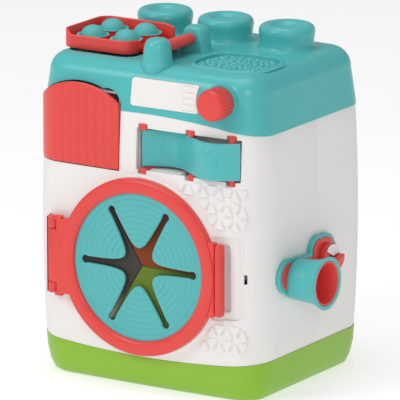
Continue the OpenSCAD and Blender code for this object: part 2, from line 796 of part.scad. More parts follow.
module corner_flap() {
    first = -flap_x - 6.5;
    color(red) difference() {
        union() {
            intersection() {
                translate([0, 0, flap_z]) linear_extrude(flap_h) flap_plan(-flap_out, flap_t);
                translate([0, flap_left_y, 0]) rotate([90, 0, 0]) linear_extrude(60) flap_front(0);
            }
            translate([flap_pin_x, flap_pin_y, flap_z]) cylinder(r = flap_barrel_r, h = arch_side_z - flap_z - 0.3);
            translate([-side_x - flap_out, flap_left_y - 1, flap_z])
                cube([flap_t, flap_barrel_r + 1, arch_side_z - flap_z - 0.3]);
        }
        for (k = [0:flutes - 1]) let (x = first - k * flute_pitch, xc = min(0, x + corner_cx),
            y = -sqrt(pow(corner_r + flap_out, 2) - xc * xc) + corner_y - bow_at(x) * (xc < 0 ? 0.3 : 1),
            h = flap_top - arch_r + sqrt(arch_r * arch_r - pow(x - arch_x, 2)) - 5 - flap_z)
            translate([x, y, flap_z + 1]) {
                cylinder(r = 0.9, h = h, $fn = 24);
                translate([0, 0, h]) sphere(r = 0.9, $fn = 24);
            }
        translate([flap_pin_x, flap_pin_y, flap_z - 1]) cylinder(d = flap_pin_d + 2 * run, h = flap_h);
    }
}

module flap_pin() {
    color(steel) translate([flap_pin_x, flap_pin_y, flap_z - 7])
        cylinder(d = flap_pin_d - 0.02, h = arch_side_z - flap_z + 14);
}

module flap_pocket() {
    t = 2;
    x0 = -side_x;
    x1 = -flap_x - 3;
    z0 = flap_z + 2;
    z1 = flap_top - 6;
    color(white) intersection() {
        difference() {
            translate([x0, front_y - 6, z0]) cube([x1 - x0, pocket_deep + 6, z1 - z0]);
            translate([x0 - t, front_y - 6 - t, z0 + t]) cube([x1 - x0, pocket_deep + 6, z1 - z0 - 2 * t]);
        }
        translate([0, 0, z0 - 1]) linear_extrude(flap_h) polygon(outline(wall + cap_lean));
    }
}

/* Window */
module window_tray() {
    t = 2;
    color(white) intersection() {
        difference() {
            translate([window_x0 - t - notch_w / 2, front_y - 6, notch_z - t])
                cube([window_w + 2 * t + notch_w / 2, window_deep + 6, notch_z1 - notch_z + 2 * t]);
            translate([window_x0 - notch_w / 2, front_y - 8, notch_z])
                cube([window_w + notch_w / 2, window_deep + 6, notch_z1 - notch_z]);
        }
        barrel(wall + 0.05);
    }
}

module wave_band() {
    xs = [for (k = [0:32]) wave_x - wave_l / 2 + wave_l * k / 32];
    color(teal) translate([0, 0, band_z]) linear_extrude(band_h)
        polygon(concat([for (x = xs) wave_side(x, -band_t / 2)],
            [for (k = [32:-1:0]) wave_side(xs[k], band_t / 2)]));
}

module band_posts() {
    peg_h = notch_h + 1.4;
    color(red) for (x = post_xs) let (p = post_at(x)) {
        translate([p[0], p[1], notch_z + 0.05]) cylinder(d = post_d, h = notch_z1 - notch_z - 0.1);
        for (z = [notch_z + 0.05, notch_z1 - peg_h - 0.05])
            translate([p[0] - 3, front_y - bow_at(p[0]) - 1.2, z])
                cube([6, p[1] + post_d / 2 + 1.2 + bow_at(p[0]) - front_y, peg_h]);
    }
}

/* Dial */
module dial() {
    r = dial_d / 2;
    color(red) face_on(dial_x, dial_y, dial_z) {
        difference() {
            union() {
                linear_extrude(dial_l - 2) polygon([for (k = [0:dial_ribs * 6 - 1])
                    let (a = 60 * k / dial_ribs) (r - 0.45 + 0.45 * cos(360 * k / 6)) * [cos(a), sin(a)]]);
                translate([0, 0, dial_l - 2]) cylinder(r1 = r - 0.9, r2 = r - 2, h = 2);
            }
            translate([0, 0, -cut]) cylinder(r = r - 2.6, h = dial_l - 3, $fn = 64);
        }
        translate([0, 0, -16]) difference() {
            cylinder(d = dial_shaft_d, h = dial_l + 14);
            translate([0, 0, 1]) rotate_extrude() translate([dial_shaft_d / 2 - 0.6, 0]) square([2, 1.2]);
        }
    }
}

module dial_clip() {
    color(steel) face_on(dial_x, dial_y, dial_z) translate([0, 0, -15 + 0.1]) difference() {
        cylinder(d = dial_shaft_d + 5, h = 0.95);
        translate([0, 0, -cut]) cylinder(d = dial_shaft_d - 1.2 + 0.1, h = 3);
    }
}

/* Tray, domes and basin */
module tray() {
    bar = post_gap - 1;
    y0 = post_mid_y - bar / 2;
    y1 = post_mid_y + bar / 2;
    x0 = -tray_x - tray_l / 2;
    x1 = -tray_x + tray_l / 2;
    top = tray_z + tray_h;
    color(red) difference() {
        union() {
            difference() {
                translate([-tray_x, -tray_y, tray_z]) difference() {
                    linear_extrude(tray_h) rounded(tray_l, tray_w, tray_round);
                    translate([0, 0, 2]) linear_extrude(tray_h)
                        rounded(tray_l - 2 * tray_wall, tray_w - 2 * tray_wall, tray_round - tray_wall);
                }
                // lower rim along the front
                translate([0, -tray_y - 20, 0]) rotate([90, 0, 0]) linear_extrude(tray_w) polygon([
                    [x0 + 2.5, top + 1], [x0 + 11, top - rim_drop], [x1 + 1, top - rim_drop], [x1 + 1, top + 1]]);
                // way out to the tongue
                translate([x1 - tray_wall - 0.6, -tray_y - 18, tray_z + 3.9]) cube([tray_wall + 2, 38.7, tray_h]);
            }
            // tongue rising from the tray's floor to the hinge barrel
            intersection() {
                translate([0, y1 + 30, 0]) rotate([90, 0, 0]) linear_extrude(bar + 60) polygon([
                    [x1 - 4, tray_z], [x1 + 2, tray_z], [pivot_x - 8, pivot_z - barrel_d / 2 - 0.2],
                    [pivot_x, pivot_z - barrel_d / 2], [pivot_x, pivot_z + barrel_d / 2],
                    [pivot_x - 9, pivot_z + 3.3], [x1 + 13, tray_z + 9.5], [x1 - 2, tray_z + 2.5], [x1 - 4, tray_z + 2]]);
                translate([0, 0, tray_z - 1]) linear_extrude(2 * tray_h) polygon([
                    [x1 - 5, -tray_y - tray_w / 2 + 2], [x1 + 12, y0], [pivot_x, y0], [pivot_x, y1],
                    [pivot_x - 21, y1], [x1 + 2, y1 + 17], [x1 - 5, y1 + 17]]);
            }
            y_rod(pivot_x, y1, y0, pivot_z, barrel_d);
        }
        for (k = [0:3]) translate([dome_x(k), dome_y(k), tray_z - cut]) cylinder(d = dome_d + 2, h = 4);
        y_rod(pivot_x, far, -far, pivot_z, axle_d + 2 * run);
    }
}

module tray_axle() {
    color(steel) y_rod(pivot_x, post_mid_y + bollard_gap + 6, post_mid_y - bollard_gap - 6, pivot_z, axle_d - 0.02);
}

module dome_collars() {
    color(teal) for (k = [0:3]) translate([dome_x(k), dome_y(k), tray_z]) rotate_extrude($fn = 64) polygon([
        [dome_d / 2 + 0.4, 0.6], [dome_d / 2 + 0.9, 0.6], [dome_d / 2 + 0.9, 2.1], [collar_d / 2, 2.1],
        [collar_d / 2, 2.9], [collar_d / 2 - 0.8, 2 + collar_h], [dome_d / 2 + 1, 2 + collar_h], [dome_d / 2 + 0.4, 2 + collar_h - 0.6]]);
}

module dome(k) {
    r = dome_d / 2;
    skirt = 5;
    color(teal) translate([dome_x(k), dome_y(k), tray_z + dome_travel + 0.2]) difference() {
        rotate_extrude($fn = 64) polygon(concat([[0, 0], [r, 0], [r, skirt]],
            [for (a = [10:10:80]) [r * cos(a), skirt + (r - 1.5) * sin(a)]], [[0, skirt + r - 1.5]]));
        translate([0, 0, -cut]) cylinder(r = r - 2, h = skirt);
    }
}
module dome_1() { dome(0); }
module dome_2() { dome(1); }
module dome_3() { dome(2); }
module dome_4() { dome(3); }

module bubble_plate() {
    w = basin_x1 - basin_x0 - 1;
    d = basin_y0 - basin_y1 - 1;
    cols = 6;
    rows = 5;
    color(teal) translate([(basin_x0 + basin_x1) / 2, -(basin_y1 + basin_y0) / 2, deck_z - basin_deep + 0.02]) {
        linear_extrude(1.2) rounded(w, d, 21.5);
        for (i = [0:cols - 1], j = [0:rows - 1]) {
            x = (i - (cols - 1) / 2) * w / (cols + 0.6) + (j % 2 == 0 ? 1.5 : -1.5);
            y = (j - (rows - 1) / 2) * d / (rows + 0.6);
            r = 2.2 + 1.2 * abs(sin(97 * i + 61 * j));
            if (pow(2 * x / w, 4) + pow(2 * y / d, 4) < 0.6)
                translate([x, y, 0.6]) intersection() {
                    sphere(r, $fn = 24);
                    translate([0, 0, 5]) cube(10, center = true);
                }
        }
    }
}

/* Side fitting */
module lobes(shrink) {
    for (c = plate_lobes) translate([c[0], c[1]]) circle(c[2] - c[3] * shrink, $fn = 96);
    low = plate_lobes[0];
    collar = plate_lobes[1];
    crown = plate_lobes[2];
    polygon([[low[0] + 2, low[1] - low[2] + shrink + 1], [collar[0] + 1.5, collar[1] - collar[2] + 0.1 * shrink + 0.4],
        [crown[0] - 1, crown[1] - crown[2] + shrink + 0.5], [crown[0] + 3, crown[1] + 4],
        [crown[0] - 24, crown[1] + 6.6 - shrink], [low[0] + 1, low[1] + low[2] - shrink - 0.4]]);
}

// Draws a side view outline as a plate between two distances from the middle
module side_sheet(x0, x1) {
    translate([x0, 0, 0]) rotate([90, 0, 90]) linear_extrude(x1 - x0) children();
}

module side_plate() {
    color(teal) difference() {
        side_sheet(side_x - 4, plate_out) lobes(0);
        barrel(-0.05);
        x_rod(side_x - 20, plate_out + 5, -funnel_y, funnel_z, chute_d + 2 * liner_t + 0.2);
        x_rod(side_x - 20, plate_out + 5, tap_y, tap_z, 2 * tap_shaft_r + 2 * run);
    }
}

module side_inlay() {
    color(red) difference() {
        side_sheet(plate_out, inlay_out) lobes(3.2);
        x_rod(side_x, plate_out + 5, -funnel_y, funnel_z, chute_d + 2 * liner_t + 0.2);
        x_rod(side_x, plate_out + 5, tap_y, tap_z, 2 * tap_shaft_r + 2 * run);
    }
}

// Outer radius along the funnel, from its root to its mouth
function funnel_r(s) = root_d / 2 + 1.6 * s / funnel_l + (mouth_d / 2 - root_d / 2 - 1.6) * pow(s / funnel_l, 4);
// Inner radius along the funnel
function bore_r(s) = chute_d / 2 + liner_t + 0.1 + 4.2 * pow(s / funnel_l, 3);
function funnel_steps() = [for (k = [0:10]) funnel_l * k / 10];

module funnel() {
    color(teal) translate([inlay_out, -funnel_y, funnel_z]) rotate([0, 90, 0]) rotate_extrude($fn = 96)
        polygon(concat([for (s = funnel_steps()) [funnel_r(s), s]],
            [for (k = [10:-1:0]) let (s = funnel_l * k / 10) [bore_r(s), s]]));
}

module chute() {
    tail = inlay_out - chute_in;
    color(red) translate([inlay_out, -funnel_y, funnel_z]) rotate([0, 90, 0]) rotate_extrude($fn = 96)
        polygon(concat([[chute_d / 2 + liner_t, -tail], [chute_d / 2 + liner_t, -1]],
            [for (s = funnel_steps()) [bore_r(s) - 0.3, s - 0.4]],
            [for (k = [10:-1:0]) let (s = funnel_l * k / 10) [bore_r(s) - 0.3 - liner_t, s - 0.4]],
            [[chute_d / 2, -tail]]));
}

module tap() {
    r = tap_d / 2;
    color(red) translate([0, tap_y, tap_z]) difference() {
        union() {
            translate([inlay_out + seat, 0, 0]) rotate([0, 90, 0]) cylinder(r = r, h = disc_out - inlay_out - seat);
            // half-round grip, its flat towards the pointer
            translate([disc_out - cut, 0, 0]) rotate([0, 90, 0]) intersection() {
                union() {
                    cylinder(r = r - 0.5, h = grip_l - 1.5 + cut);
                    translate([0, 0, grip_l - 1.5 + cut]) cylinder(r1 = r - 0.5, r2 = r - 2.2, h = 1.5);
                }
                rotate(12) translate([1.2, -2 * r, 0]) cube([2 * r, 4 * r, grip_l + 1]);
            }
            translate([side_x - 9, 0, 0]) rotate([0, 90, 0]) cylinder(r = tap_shaft_r, h = inlay_out - side_x + 10);
        }
        tap_pointer(0.1, disc_out - 1.4, 8);
        translate([side_x - 8, 0, 0]) rotate([0, 90, 0]) rotate_extrude()
            translate([tap_shaft_r - 0.6, 0]) square([2, 1.2]);
    }
}

// Fan-shaped pointer on the tap's disc
module tap_pointer(grow, x0, t) {
    r = tap_d / 2 - 0.6 + grow;
    translate([x0, 0, 0]) rotate([90, 0, 90]) linear_extrude(t) intersection() {
        circle(r);
        polygon([[0.4, 0.8 - grow], for (a = [8:20:148]) 2 * r * [cos(a), sin(a)]]);
    }
}

module tap_fan() {
    color(white) translate([0, tap_y, tap_z]) tap_pointer(0, disc_out - 1.35, 2.6);
}

module tap_clip() {
    color(steel) translate([side_x - 7.9, tap_y, tap_z]) rotate([0, 90, 0]) difference() {
        cylinder(r = tap_shaft_r + 2, h = 0.95);
        translate([0, 0, -cut]) cylinder(r = tap_shaft_r - 0.55, h = 3);
    }
}

/* Power switch */
module at_switch() {
    translate([corner_cx, corner_y, switch_z]) rotate([0, 0, switch_angle]) translate([0, -switch_r, 0]) children();
}

module switch_body() {
    color(black) at_switch() difference() {
        union() {
            translate([-1.9, 0.8, -4.1]) cube([3.8, 5.2, 8.2]);
            translate([-5, 4.6, -8]) cube([10, 6, 16]);
        }
        translate([-1.5, 0, -3.7]) cube([3, 3.4, 7.4]);
    }
}

module switch_knob() {
    h = 7.4 - switch_travel - 0.2;
    color([0.30, 0.27, 0.26]) at_switch() translate([-1.4, 0.3, 3.6 - h]) cube([2.8, 3, h]);
}

/* Power and sound */
module battery_box() {
    t = 1.6;
    h = cell_d + 3;
    color(black) translate([0, bay_y, floor_t]) difference() {
        translate([-bay_w / 2 - t, -bay_d / 2 - t, 0]) cube([bay_w + 2 * t, bay_d + 2 * t, h + t]);
        translate([-bay_w / 2, -bay_d / 2, -cut]) cube([bay_w, bay_d, h + cut]);
    }
}

module battery_cells() {
    color([0.45, 0.47, 0.52]) for (k = [0:cells - 1])
        translate([-cell_l / 2, bay_y + (k - (cells - 1) / 2) * cell_pitch, floor_t + cell_d / 2 - 0.6]) rotate([0, 90, 0]) {
            cylinder(d = cell_d, h = cell_l - 1.2);
            translate([0, 0, cell_l - 1.2]) cylinder(d = 5.4, h = 1.2);
        }
}

module battery_door() {
    color(green) difference() {
        translate([-bay_w / 2 - 3.8, bay_y - bay_d / 2 - 3.8, 0.4]) cube([bay_w + 7.6, bay_d + 7.6, 1.6]);
        translate([0, bay_y - bay_d / 2 - 1.9, -cut]) cylinder(d = 2, h = 4);
        translate([0, bay_y - bay_d / 2 - 1.9, -cut]) cylinder(d = 3.8, h = 1.04 + cut);
    }
}

module battery_screw() {
    color(steel) translate([0, bay_y - bay_d / 2 - 1.9, 0.5]) {
        cylinder(d = 3.5, h = 0.5);
        cylinder(d = 1.9, h = 1.45);
    }
}

module circuit_board() {
    m = 5;
    w = board_xs[1] - board_xs[0];
    d = board_ys[1] - board_ys[0];
    color([0.13, 0.42, 0.24]) difference() {
        union() {
            translate([board_xs[0] - m, board_ys[0] - m, board_z - 1.6]) cube([w + 2 * m, d + 2 * m, 1.6]);
            for (k = [0:2]) translate([board_xs[0] + 6 + 15 * k, board_ys[0] + 12, board_z - 3.6]) cube([10, 8, 2.2]);
            translate([board_xs[0] + 20, board_ys[1] - 10, board_z - 8]) cylinder(d = 6, h = 7);
        }
        for (x = board_xs, y = board_ys) translate([x, y, board_z - 3]) cylinder(d = 2.4, h = 6);
    }
}

module speaker() {
    r = stud_d / 2 - 4.5;
    color(black) translate([-stud_pitch, stud_y, deck_z - wall]) rotate_extrude($fn = 64)
        polygon([[0, -9], [9, -9], [9, -6], [r - 2, -1.5], [r + 3, -1.5], [r + 3, -0.1], [r - 3, -0.1], [3, -4.5], [0, -4.5]]);
}

module case_screws() {
    color(steel) for (sx = [-1, 1], z = screw_zs) {
        y_rod(sx * screw_x, back_y - 5.4, back_y - 8, z, 6.4);
        y_rod(sx * screw_x, back_y - 8, back_y - 22, z, screw_d - 0.1);
    }
}

base_tub();
front_shell();
rear_shell();
top_cap();
laundry_tub();
door_ring();
star_panel();
panel_retainer();
veil_white();
veil_red();
veil_green();
handle_tab();
hinge_bracket();
door_pin();
corner_flap();
flap_pin();
flap_pocket();
window_tray();
wave_band();
band_posts();
dial();
dial_clip();
inset_plate();
tray();
tray_axle();
dome_collars();
dome_1();
dome_2();
dome_3();
dome_4();
bubble_plate();
side_plate();
side_inlay();
funnel();
chute();
tap();
tap_fan();
tap_clip();
switch_body();
switch_knob();
battery_box();
battery_door();
battery_cells();
battery_screw();
circuit_board();
speaker();
case_screws();
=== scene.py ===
import json
import math

import bpy
import numpy as np
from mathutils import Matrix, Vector
from mathutils.geometry import delaunay_2d_cdt


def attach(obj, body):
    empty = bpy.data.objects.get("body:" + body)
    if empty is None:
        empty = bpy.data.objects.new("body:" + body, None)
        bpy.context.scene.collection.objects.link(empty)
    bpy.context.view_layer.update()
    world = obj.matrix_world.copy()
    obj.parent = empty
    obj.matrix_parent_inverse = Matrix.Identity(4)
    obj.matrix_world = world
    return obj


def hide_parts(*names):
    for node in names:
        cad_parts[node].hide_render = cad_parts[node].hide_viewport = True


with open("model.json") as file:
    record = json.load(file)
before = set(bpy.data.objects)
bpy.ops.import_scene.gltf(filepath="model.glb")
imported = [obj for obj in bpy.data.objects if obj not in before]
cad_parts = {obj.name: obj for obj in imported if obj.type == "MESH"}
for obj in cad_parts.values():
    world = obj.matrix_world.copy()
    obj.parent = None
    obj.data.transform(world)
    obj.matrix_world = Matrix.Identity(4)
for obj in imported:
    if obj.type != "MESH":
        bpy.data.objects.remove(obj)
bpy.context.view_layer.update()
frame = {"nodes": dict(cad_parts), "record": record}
nodes = frame["nodes"]

# Shapes are in millimetres: X runs to the right, Y to the back and Z up.
HALF_W = 115  # half the width of the case at its top and bottom
HALF_D = 92  # half its depth there
CORNER = 28  # radius of its upright corners
CORNER_X = HALF_W - CORNER  # where the corners begin
CORNER_Y = HALF_D - CORNER
BOW = 2.5  # how far the front and the back bow out in plan
SWELL = 3.0  # how far the walls swell at half their height
WALL_MID = 136.5  # middle and half of the walls' height
WALL_HALF = 100.5
CAP_FOOT = 237  # lower edge of the cap
CAP_WALL = 33  # height of the cap's leaning wall
CAP_LEAN = 4.8  # how far that wall leans in
CAP_BEND = 18  # radius of the cap's top edge
DECK = CAP_FOOT + CAP_WALL + CAP_BEND
SEAM_RISE = 10  # rise of the arched seam between cap and case
TRAY_AT = (-62.5, -31.2)  # middle of the tray's pocket
BASIN_AT = (60.5, -37)  # middle of the basin
DIAL_X = 77.4
DIAL_Z = 266
PLATE_X = 21.3  # middle of the inset plate
PLATE_Y = -91.14
PLATE_Z = 265
PLATE_SKEW = 0.0082  # how the plate follows the bow, in Y for each step in X
DOOR_Z = 111.6  # height of the door's axis
DOOR_BACK = 98.4  # distance of the door's rear face from the middle of the case
PIN_X = -88  # axis of the door's pin
PIN_Y = -101.5
HANDLE_Z = 110.8  # middle of the handle
FLAP_FOOT = 194  # lower edge of the flap
FLAP_EDGE = -24  # free edge of the flap
FLAP_OUT = 2.4  # how far the flap's face stands out of the case
FLAP_GAP = 0.8  # gap round the flap
AXLE_X = 3  # axis of the tray's pin, and the middle of its length
AXLE_Y = -43.5
AXLE_Z = 300
DOMES = [(x, y) for y in (-42.45, -10.95) for x in (-84.8, -50.2)]
DOME_FOOT = 291.7
BAND_X = 47.5  # middle of the window band
BAND_L = 99.5  # length of its wave
BAND_WAVE = 12  # height of its wave
BAND_FOOT = 199.55
BAND_H = 32.5
TILE = 15.6  # side of a relief triangle
ROW = 13.5  # height of a row of them
PATTERN_Y = -93.5  # flat plane in which the relief is laid out
PULL_X = 0.627  # slant of the mould's pull, for each step in Y
PULL_Z = 0.294
AXIS_R = 0.01  # smallest radius of a turned piece, so that no ring of points closes up


# ---------------------------------------------------------------- shader helpers
class Value:
    """A shader socket that adds, subtracts and multiplies by making Math nodes."""

    def __init__(self, shader, socket):
        self.shader = shader
        self.socket = socket

    def maths(self, kind, first, second):
        return self.shader.node("ShaderNodeMath", {"operation": kind}, [first, second])

    def __add__(self, other):
        return self.maths("ADD", self, other)

    def __radd__(self, other):
        return self.maths("ADD", other, self)

    def __sub__(self, other):
        return self.maths("SUBTRACT", self, other)

    def __rsub__(self, other):
        return self.maths("SUBTRACT", other, self)

    def __mul__(self, other):
        return self.maths("MULTIPLY", self, other)

    def __rmul__(self, other):
        return self.maths("MULTIPLY", other, self)

    def smooth(self, low, high):
        """Rises softly from 0 to 1 between two values."""
        ramp = {"interpolation_type": "SMOOTHSTEP"}
        return self.shader.node("ShaderNodeMapRange", ramp, [self, low, high, 0.0, 1.0])


class Shader:
    """One procedural material, built node by node."""

    def __init__(self, name):
        self.mat = bpy.data.materials.new(name)
        self.mat.use_nodes = True
        self.tree = self.mat.node_tree
        self.bsdf = self.tree.nodes["Principled BSDF"]
        self.coords = self.node("ShaderNodeTexCoord", {}, [], "Object")

    def node(self, kind, settings, sockets, out=0):
        """Makes a node: its settings first, then the values or links of its sockets."""
        made = self.tree.nodes.new(kind)
        for key, setting in settings.items():
            setattr(made, key, setting)
        pairs = sockets.items() if isinstance(sockets, dict) else enumerate(sockets)
        for key, value in pairs:
            self.put(made.inputs[key], value)
        return Value(self, made.outputs[out])

    def put(self, socket, value):
        if isinstance(value, Value):
            self.tree.links.new(value.socket, socket)
        elif socket.type == "RGBA":
            socket.default_value = (*value, 1.0)
        else:
            socket.default_value = value

    def set(self, name, value):
        self.put(self.bsdf.inputs[name], value)

    def noise(self, scale, detail=2.0, rough=0.5):
        sockets = {"Vector": self.coords, "Scale": scale, "Detail": detail, "Roughness": rough}
        return self.node("ShaderNodeTexNoise", {}, sockets)

    def mix(self, factor, a, b):
        """Mixes two colours."""
        return self.node("ShaderNodeMix", {"data_type": "RGBA"}, {0: factor, 6: a, 7: b}, 2)

    def bump(self, height, strength, distance):
        sockets = {"Height": height, "Strength": strength, "Distance": distance}
        return self.node("ShaderNodeBump", {}, sockets)


def plastic(name, colour, rough, grain=0.0, wear=0.06):
    """Moulded plastic: a slow drift in shade, finer drift in gloss and a fine moulded grain."""
    s = Shader(name)
    dark = tuple(c * (1.0 - wear) for c in colour)
    s.set("Base Color", s.mix(s.noise(14.0), dark, colour))
    s.set("Roughness", s.noise(55.0, 3.0) * 0.10 + (rough - 0.05))
    s.set("IOR", 1.47)
    if grain:
        s.set("Normal", s.bump(s.noise(900.0, 3.0, 0.6), 0.35, grain))
    return s.mat


def metal(name, colour, rough):
    s = Shader(name)
    s.set("Base Color", s.mix(s.noise(120.0), tuple(c * 0.85 for c in colour), colour))
    s.set("Metallic", 1.0)
    s.set("Roughness", s.noise(300.0) * 0.15 + (rough - 0.07))
    return s.mat


def veil(name, middle, shaded_tip, low=None):
    """Thin creased sheet whose colour is painted shade, darker towards the star's tips, and, where low is
    given, lighter downwards with a painted highlight.
    """
    s = Shader(name)
    flat = s.node("ShaderNodeVectorMath", {"operation": "MULTIPLY"}, [s.coords, (1.0, 0.0, 1.0)])
    centre = (0.0, 0.0, 0.001 * DOOR_Z)
    reach = s.node("ShaderNodeVectorMath", {"operation": "DISTANCE"}, [flat, centre], "Value")
    # painted shade: the sheet darkens towards the star's tips, with random blotches in it
    shade = reach.smooth(0.012, 0.056) + (s.noise(160.0, 3.0) - 0.5) * 0.18
    colour = s.mix(shade, middle, shaded_tip)
    # painted highlight: where low is given, the sheet is lightened low down
    if low:
        height = s.node("ShaderNodeSeparateXYZ", {}, [s.coords], "Z")
        colour = s.mix(1.0 - height.smooth(0.062, 0.092), colour, low)
    s.set("Base Color", colour)
    s.set("Roughness", s.noise(90.0) * 0.12 + 0.62)
    s.set("Specular IOR Level", 0.25)
    s.set("Normal", s.bump(s.noise(420.0, 3.0, 0.6), 0.3, 0.00006))
    return s.mat


TEAL = (0.085, 0.50, 0.50)
WHITE = (0.86, 0.84, 0.82)
GREEN = (0.27, 0.52, 0.028)
RED = (0.80, 0.062, 0.052)
mats = {
    "teal_plastic": plastic("teal satin", TEAL, 0.31, 0.00004),
    "white_plastic": plastic("white matt", WHITE, 0.5, 0.00005, wear=0.02),
    "green_plastic": plastic("green satin", GREEN, 0.32, 0.00003),
    "red_plastic": plastic("red satin", RED, 0.33, 0.00003),
    "teal_soft": plastic("teal elastomer", (0.10, 0.49, 0.49), 0.55, 0.00006),
    # The three veils' colours are painted shade: white, red and green sheets darkened as though deep in
    # shadow, darkest at the tips; the white one also gets a painted highlight low down.
    "white_soft": veil("shaded white veil", (0.056, 0.050, 0.043), (0.036, 0.026, 0.020), (0.26, 0.235, 0.21)),
    "red_soft": veil("shaded red veil", (0.22, 0.045, 0.009), (0.060, 0.015, 0.006)),
    "green_soft": veil("shaded green veil", (0.135, 0.205, 0.020), (0.045, 0.065, 0.010)),
    "steel": metal("steel pin", (0.62, 0.63, 0.65), 0.3),
    "black_plastic": plastic("black matt", (0.012, 0.012, 0.014), 0.5),
    "grey_plastic": plastic("grey brown matt", (0.10, 0.08, 0.07), 0.5),
    "cell_wrap": plastic("cell wrap", (0.18, 0.20, 0.26), 0.3),
    "board_green": plastic("board resist", (0.012, 0.13, 0.05), 0.35),
}
slot_of = {p["node"]: p["material_slot"] for p in frame["record"]["subparts"]}


# ---------------------------------------------------------------- edges and shading of moulded pieces
def soft_edges(limit):
    """Geometry nodes that shade a piece smooth and keep only edges above an angle sharp."""
    g = bpy.data.node_groups.new("soft edges %d" % limit, "GeometryNodeTree")
    g.interface.new_socket("Geometry", in_out="INPUT", socket_type="NodeSocketGeometry")
    g.interface.new_socket("Geometry", in_out="OUTPUT", socket_type="NodeSocketGeometry")
    first = g.nodes.new("NodeGroupInput")
    last = g.nodes.new("NodeGroupOutput")
    drop = g.nodes.new("GeometryNodeRemoveAttribute")
    drop.inputs["Name"].default_value = "custom_normal"
    faces = g.nodes.new("GeometryNodeSetShadeSmooth")
    edges = g.nodes.new("GeometryNodeSetShadeSmooth")
    edges.domain = "EDGE"
    angle = g.nodes.new("GeometryNodeInputMeshEdgeAngle")
    less = g.nodes.new("FunctionNodeCompare")
    less.operation = "LESS_THAN"
    less.inputs[1].default_value = math.radians(limit)
    g.links.new(angle.outputs[0], less.inputs[0])
    g.links.new(less.outputs[0], edges.inputs["Shade Smooth"])
    for source, target in ((first, drop), (drop, faces), (faces, edges), (edges, last)):
        g.links.new(source.outputs[0], target.inputs[0])
    return g


SOFT = soft_edges(35)


def moulded(o, radius, angle=38, dissolve=0.6):
    """Rounds the edges of a moulded piece, by a radius in metres, and shades its curved walls smooth."""
    weld = o.modifiers.new("weld", "WELD")
    weld.merge_threshold = 0.00001
    if dissolve:
        flat = o.modifiers.new("flat faces", "DECIMATE")
        flat.decimate_type = "DISSOLVE"
        flat.angle_limit = math.radians(dissolve)
    if radius:
        bevel = o.modifiers.new("edge round", "BEVEL")
        bevel.width = radius
        bevel.segments = 3
        bevel.limit_method = "ANGLE"
        bevel.angle_limit = math.radians(angle)
        bevel.use_clamp_overlap = False
        bevel.miter_outer = "MITER_ARC"
    o.modifiers.new("soft shading", "NODES").node_group = SOFT


USUAL_EDGE = 0.0004  # radius of the moulded edges in metres, and the nodes that have another one
EDGE = {
    "rear_shell": 0.0006, "circuit_board": 0.0001, "battery_cells": 0.0003,
    "flap_pin": 0.0002, "door_pin": 0.0002,
    "veil_white": 0, "veil_red": 0, "veil_green": 0,
}
for name, o in nodes.items():
    o.data.materials.clear()
    o.data.materials.append(mats[slot_of[name]])
    moulded(o, EDGE.get(name, USUAL_EDGE))


# ---------------------------------------------------------------- curves and outlines
def arc(cx, cy, r, start, end, n=8):
    """Points along an arc about a centre, with both ends, from two angles in degrees."""
    turns = [math.radians(start + (end - start) * k / n) for k in range(n + 1)]
    return [(cx + r * math.cos(a), cy + r * math.sin(a)) for a in turns]


def circle(cx, cy, r, n):
    return arc(cx, cy, r, 0, 360, n)[:n]


QUARTERS = ((1, 1), (-1, 1), (-1, -1), (1, -1))


def rounded(w, h, r, n=10, at=(0, 0)):
    """Rounded rectangle, counter-clockwise, from its width, height, corner radius and middle."""
    points = []
    for q, (sx, sy) in enumerate(QUARTERS):
        x = at[0] + sx * (w / 2 - r)
        y = at[1] + sy * (h / 2 - r)
        points += arc(x, y, r, 90 * q, 90 * q + 90, n)
    return points


def outline(inset):
    """Body outline in plan, drawn in by an inset: rounded corners and bowed front and back."""
    w = HALF_W - inset
    d = HALF_D - inset
    r = max(10.0, CORNER - inset)
    points = []
    for q, (sx, sy) in enumerate(QUARTERS):
        points += arc(sx * (w - r), sy * (d - r), r, 90 * q, 90 * q + 90, 14)
        if sx == sy:
            points += [(sx * (w - r) * (1 - k / 6), sy * d) for k in range(1, 12)]
    bowed = []
    for x, y in points:
        share = max(0.0, abs(y) - d + r) / r
        bowed.append((x, y + math.copysign(BOW * (1 - (x / w) ** 2) * share, y)))
    return bowed


def spline(points):
    """Points of a smooth curve through a coarse profile."""
    ends = [points[0], *points, points[-1]]
    curve = []
    for four in zip(ends, ends[1:], ends[2:], ends[3:]):
        for t in (0, 1 / 3, 2 / 3):
            curve.append(tuple(
                0.5 * (2 * b + (c - a) * t + (2 * a - 5 * b + 4 * c - d) * t ** 2
                       + (3 * b - a - 3 * c + d) * t ** 3)
                for a, b, c, d in zip(*four)))
    return curve + [points[-1]]


# ---------------------------------------------------------------- closed solids, as points and faces
def skin(loops, ring=False):
    """Closed solid from loops of equal length that run upwards and counter-clockwise."""
    n = len(loops[0])
    rows = len(loops)
    faces = []
    for r in range(rows if ring else rows - 1):
        low = r * n
        high = (r + 1) % rows * n
        faces += [(low + k, low + (k + 1) % n, high + (k + 1) % n, high + k) for k in range(n)]
    if not ring:
        faces.append(tuple(reversed(range(n))))
        faces.append(tuple(range((rows - 1) * n, rows * n)))
    return [point for loop in loops for point in loop], faces


def flipped(part):
    """The same solid with every face turned over."""
    return part[0], [tuple(reversed(face)) for face in part[1]]


def turned(profile, at, n):
    """Solid turned about Z from (radius, height) pairs that run upwards from the axis to the axis."""
    x, y, z = at
    return skin([[(px, py, z + h) for px, py in circle(x, y, max(r, AXIS_R), n)] for r, h in profile])


def ring_about(at, profile):
    """Ring turned about Z from (radius, height) pairs in a closed loop."""
    return skin([[(x, y, z) for x, y in circle(*at, r, 72)] for r, z in profile], ring=True)


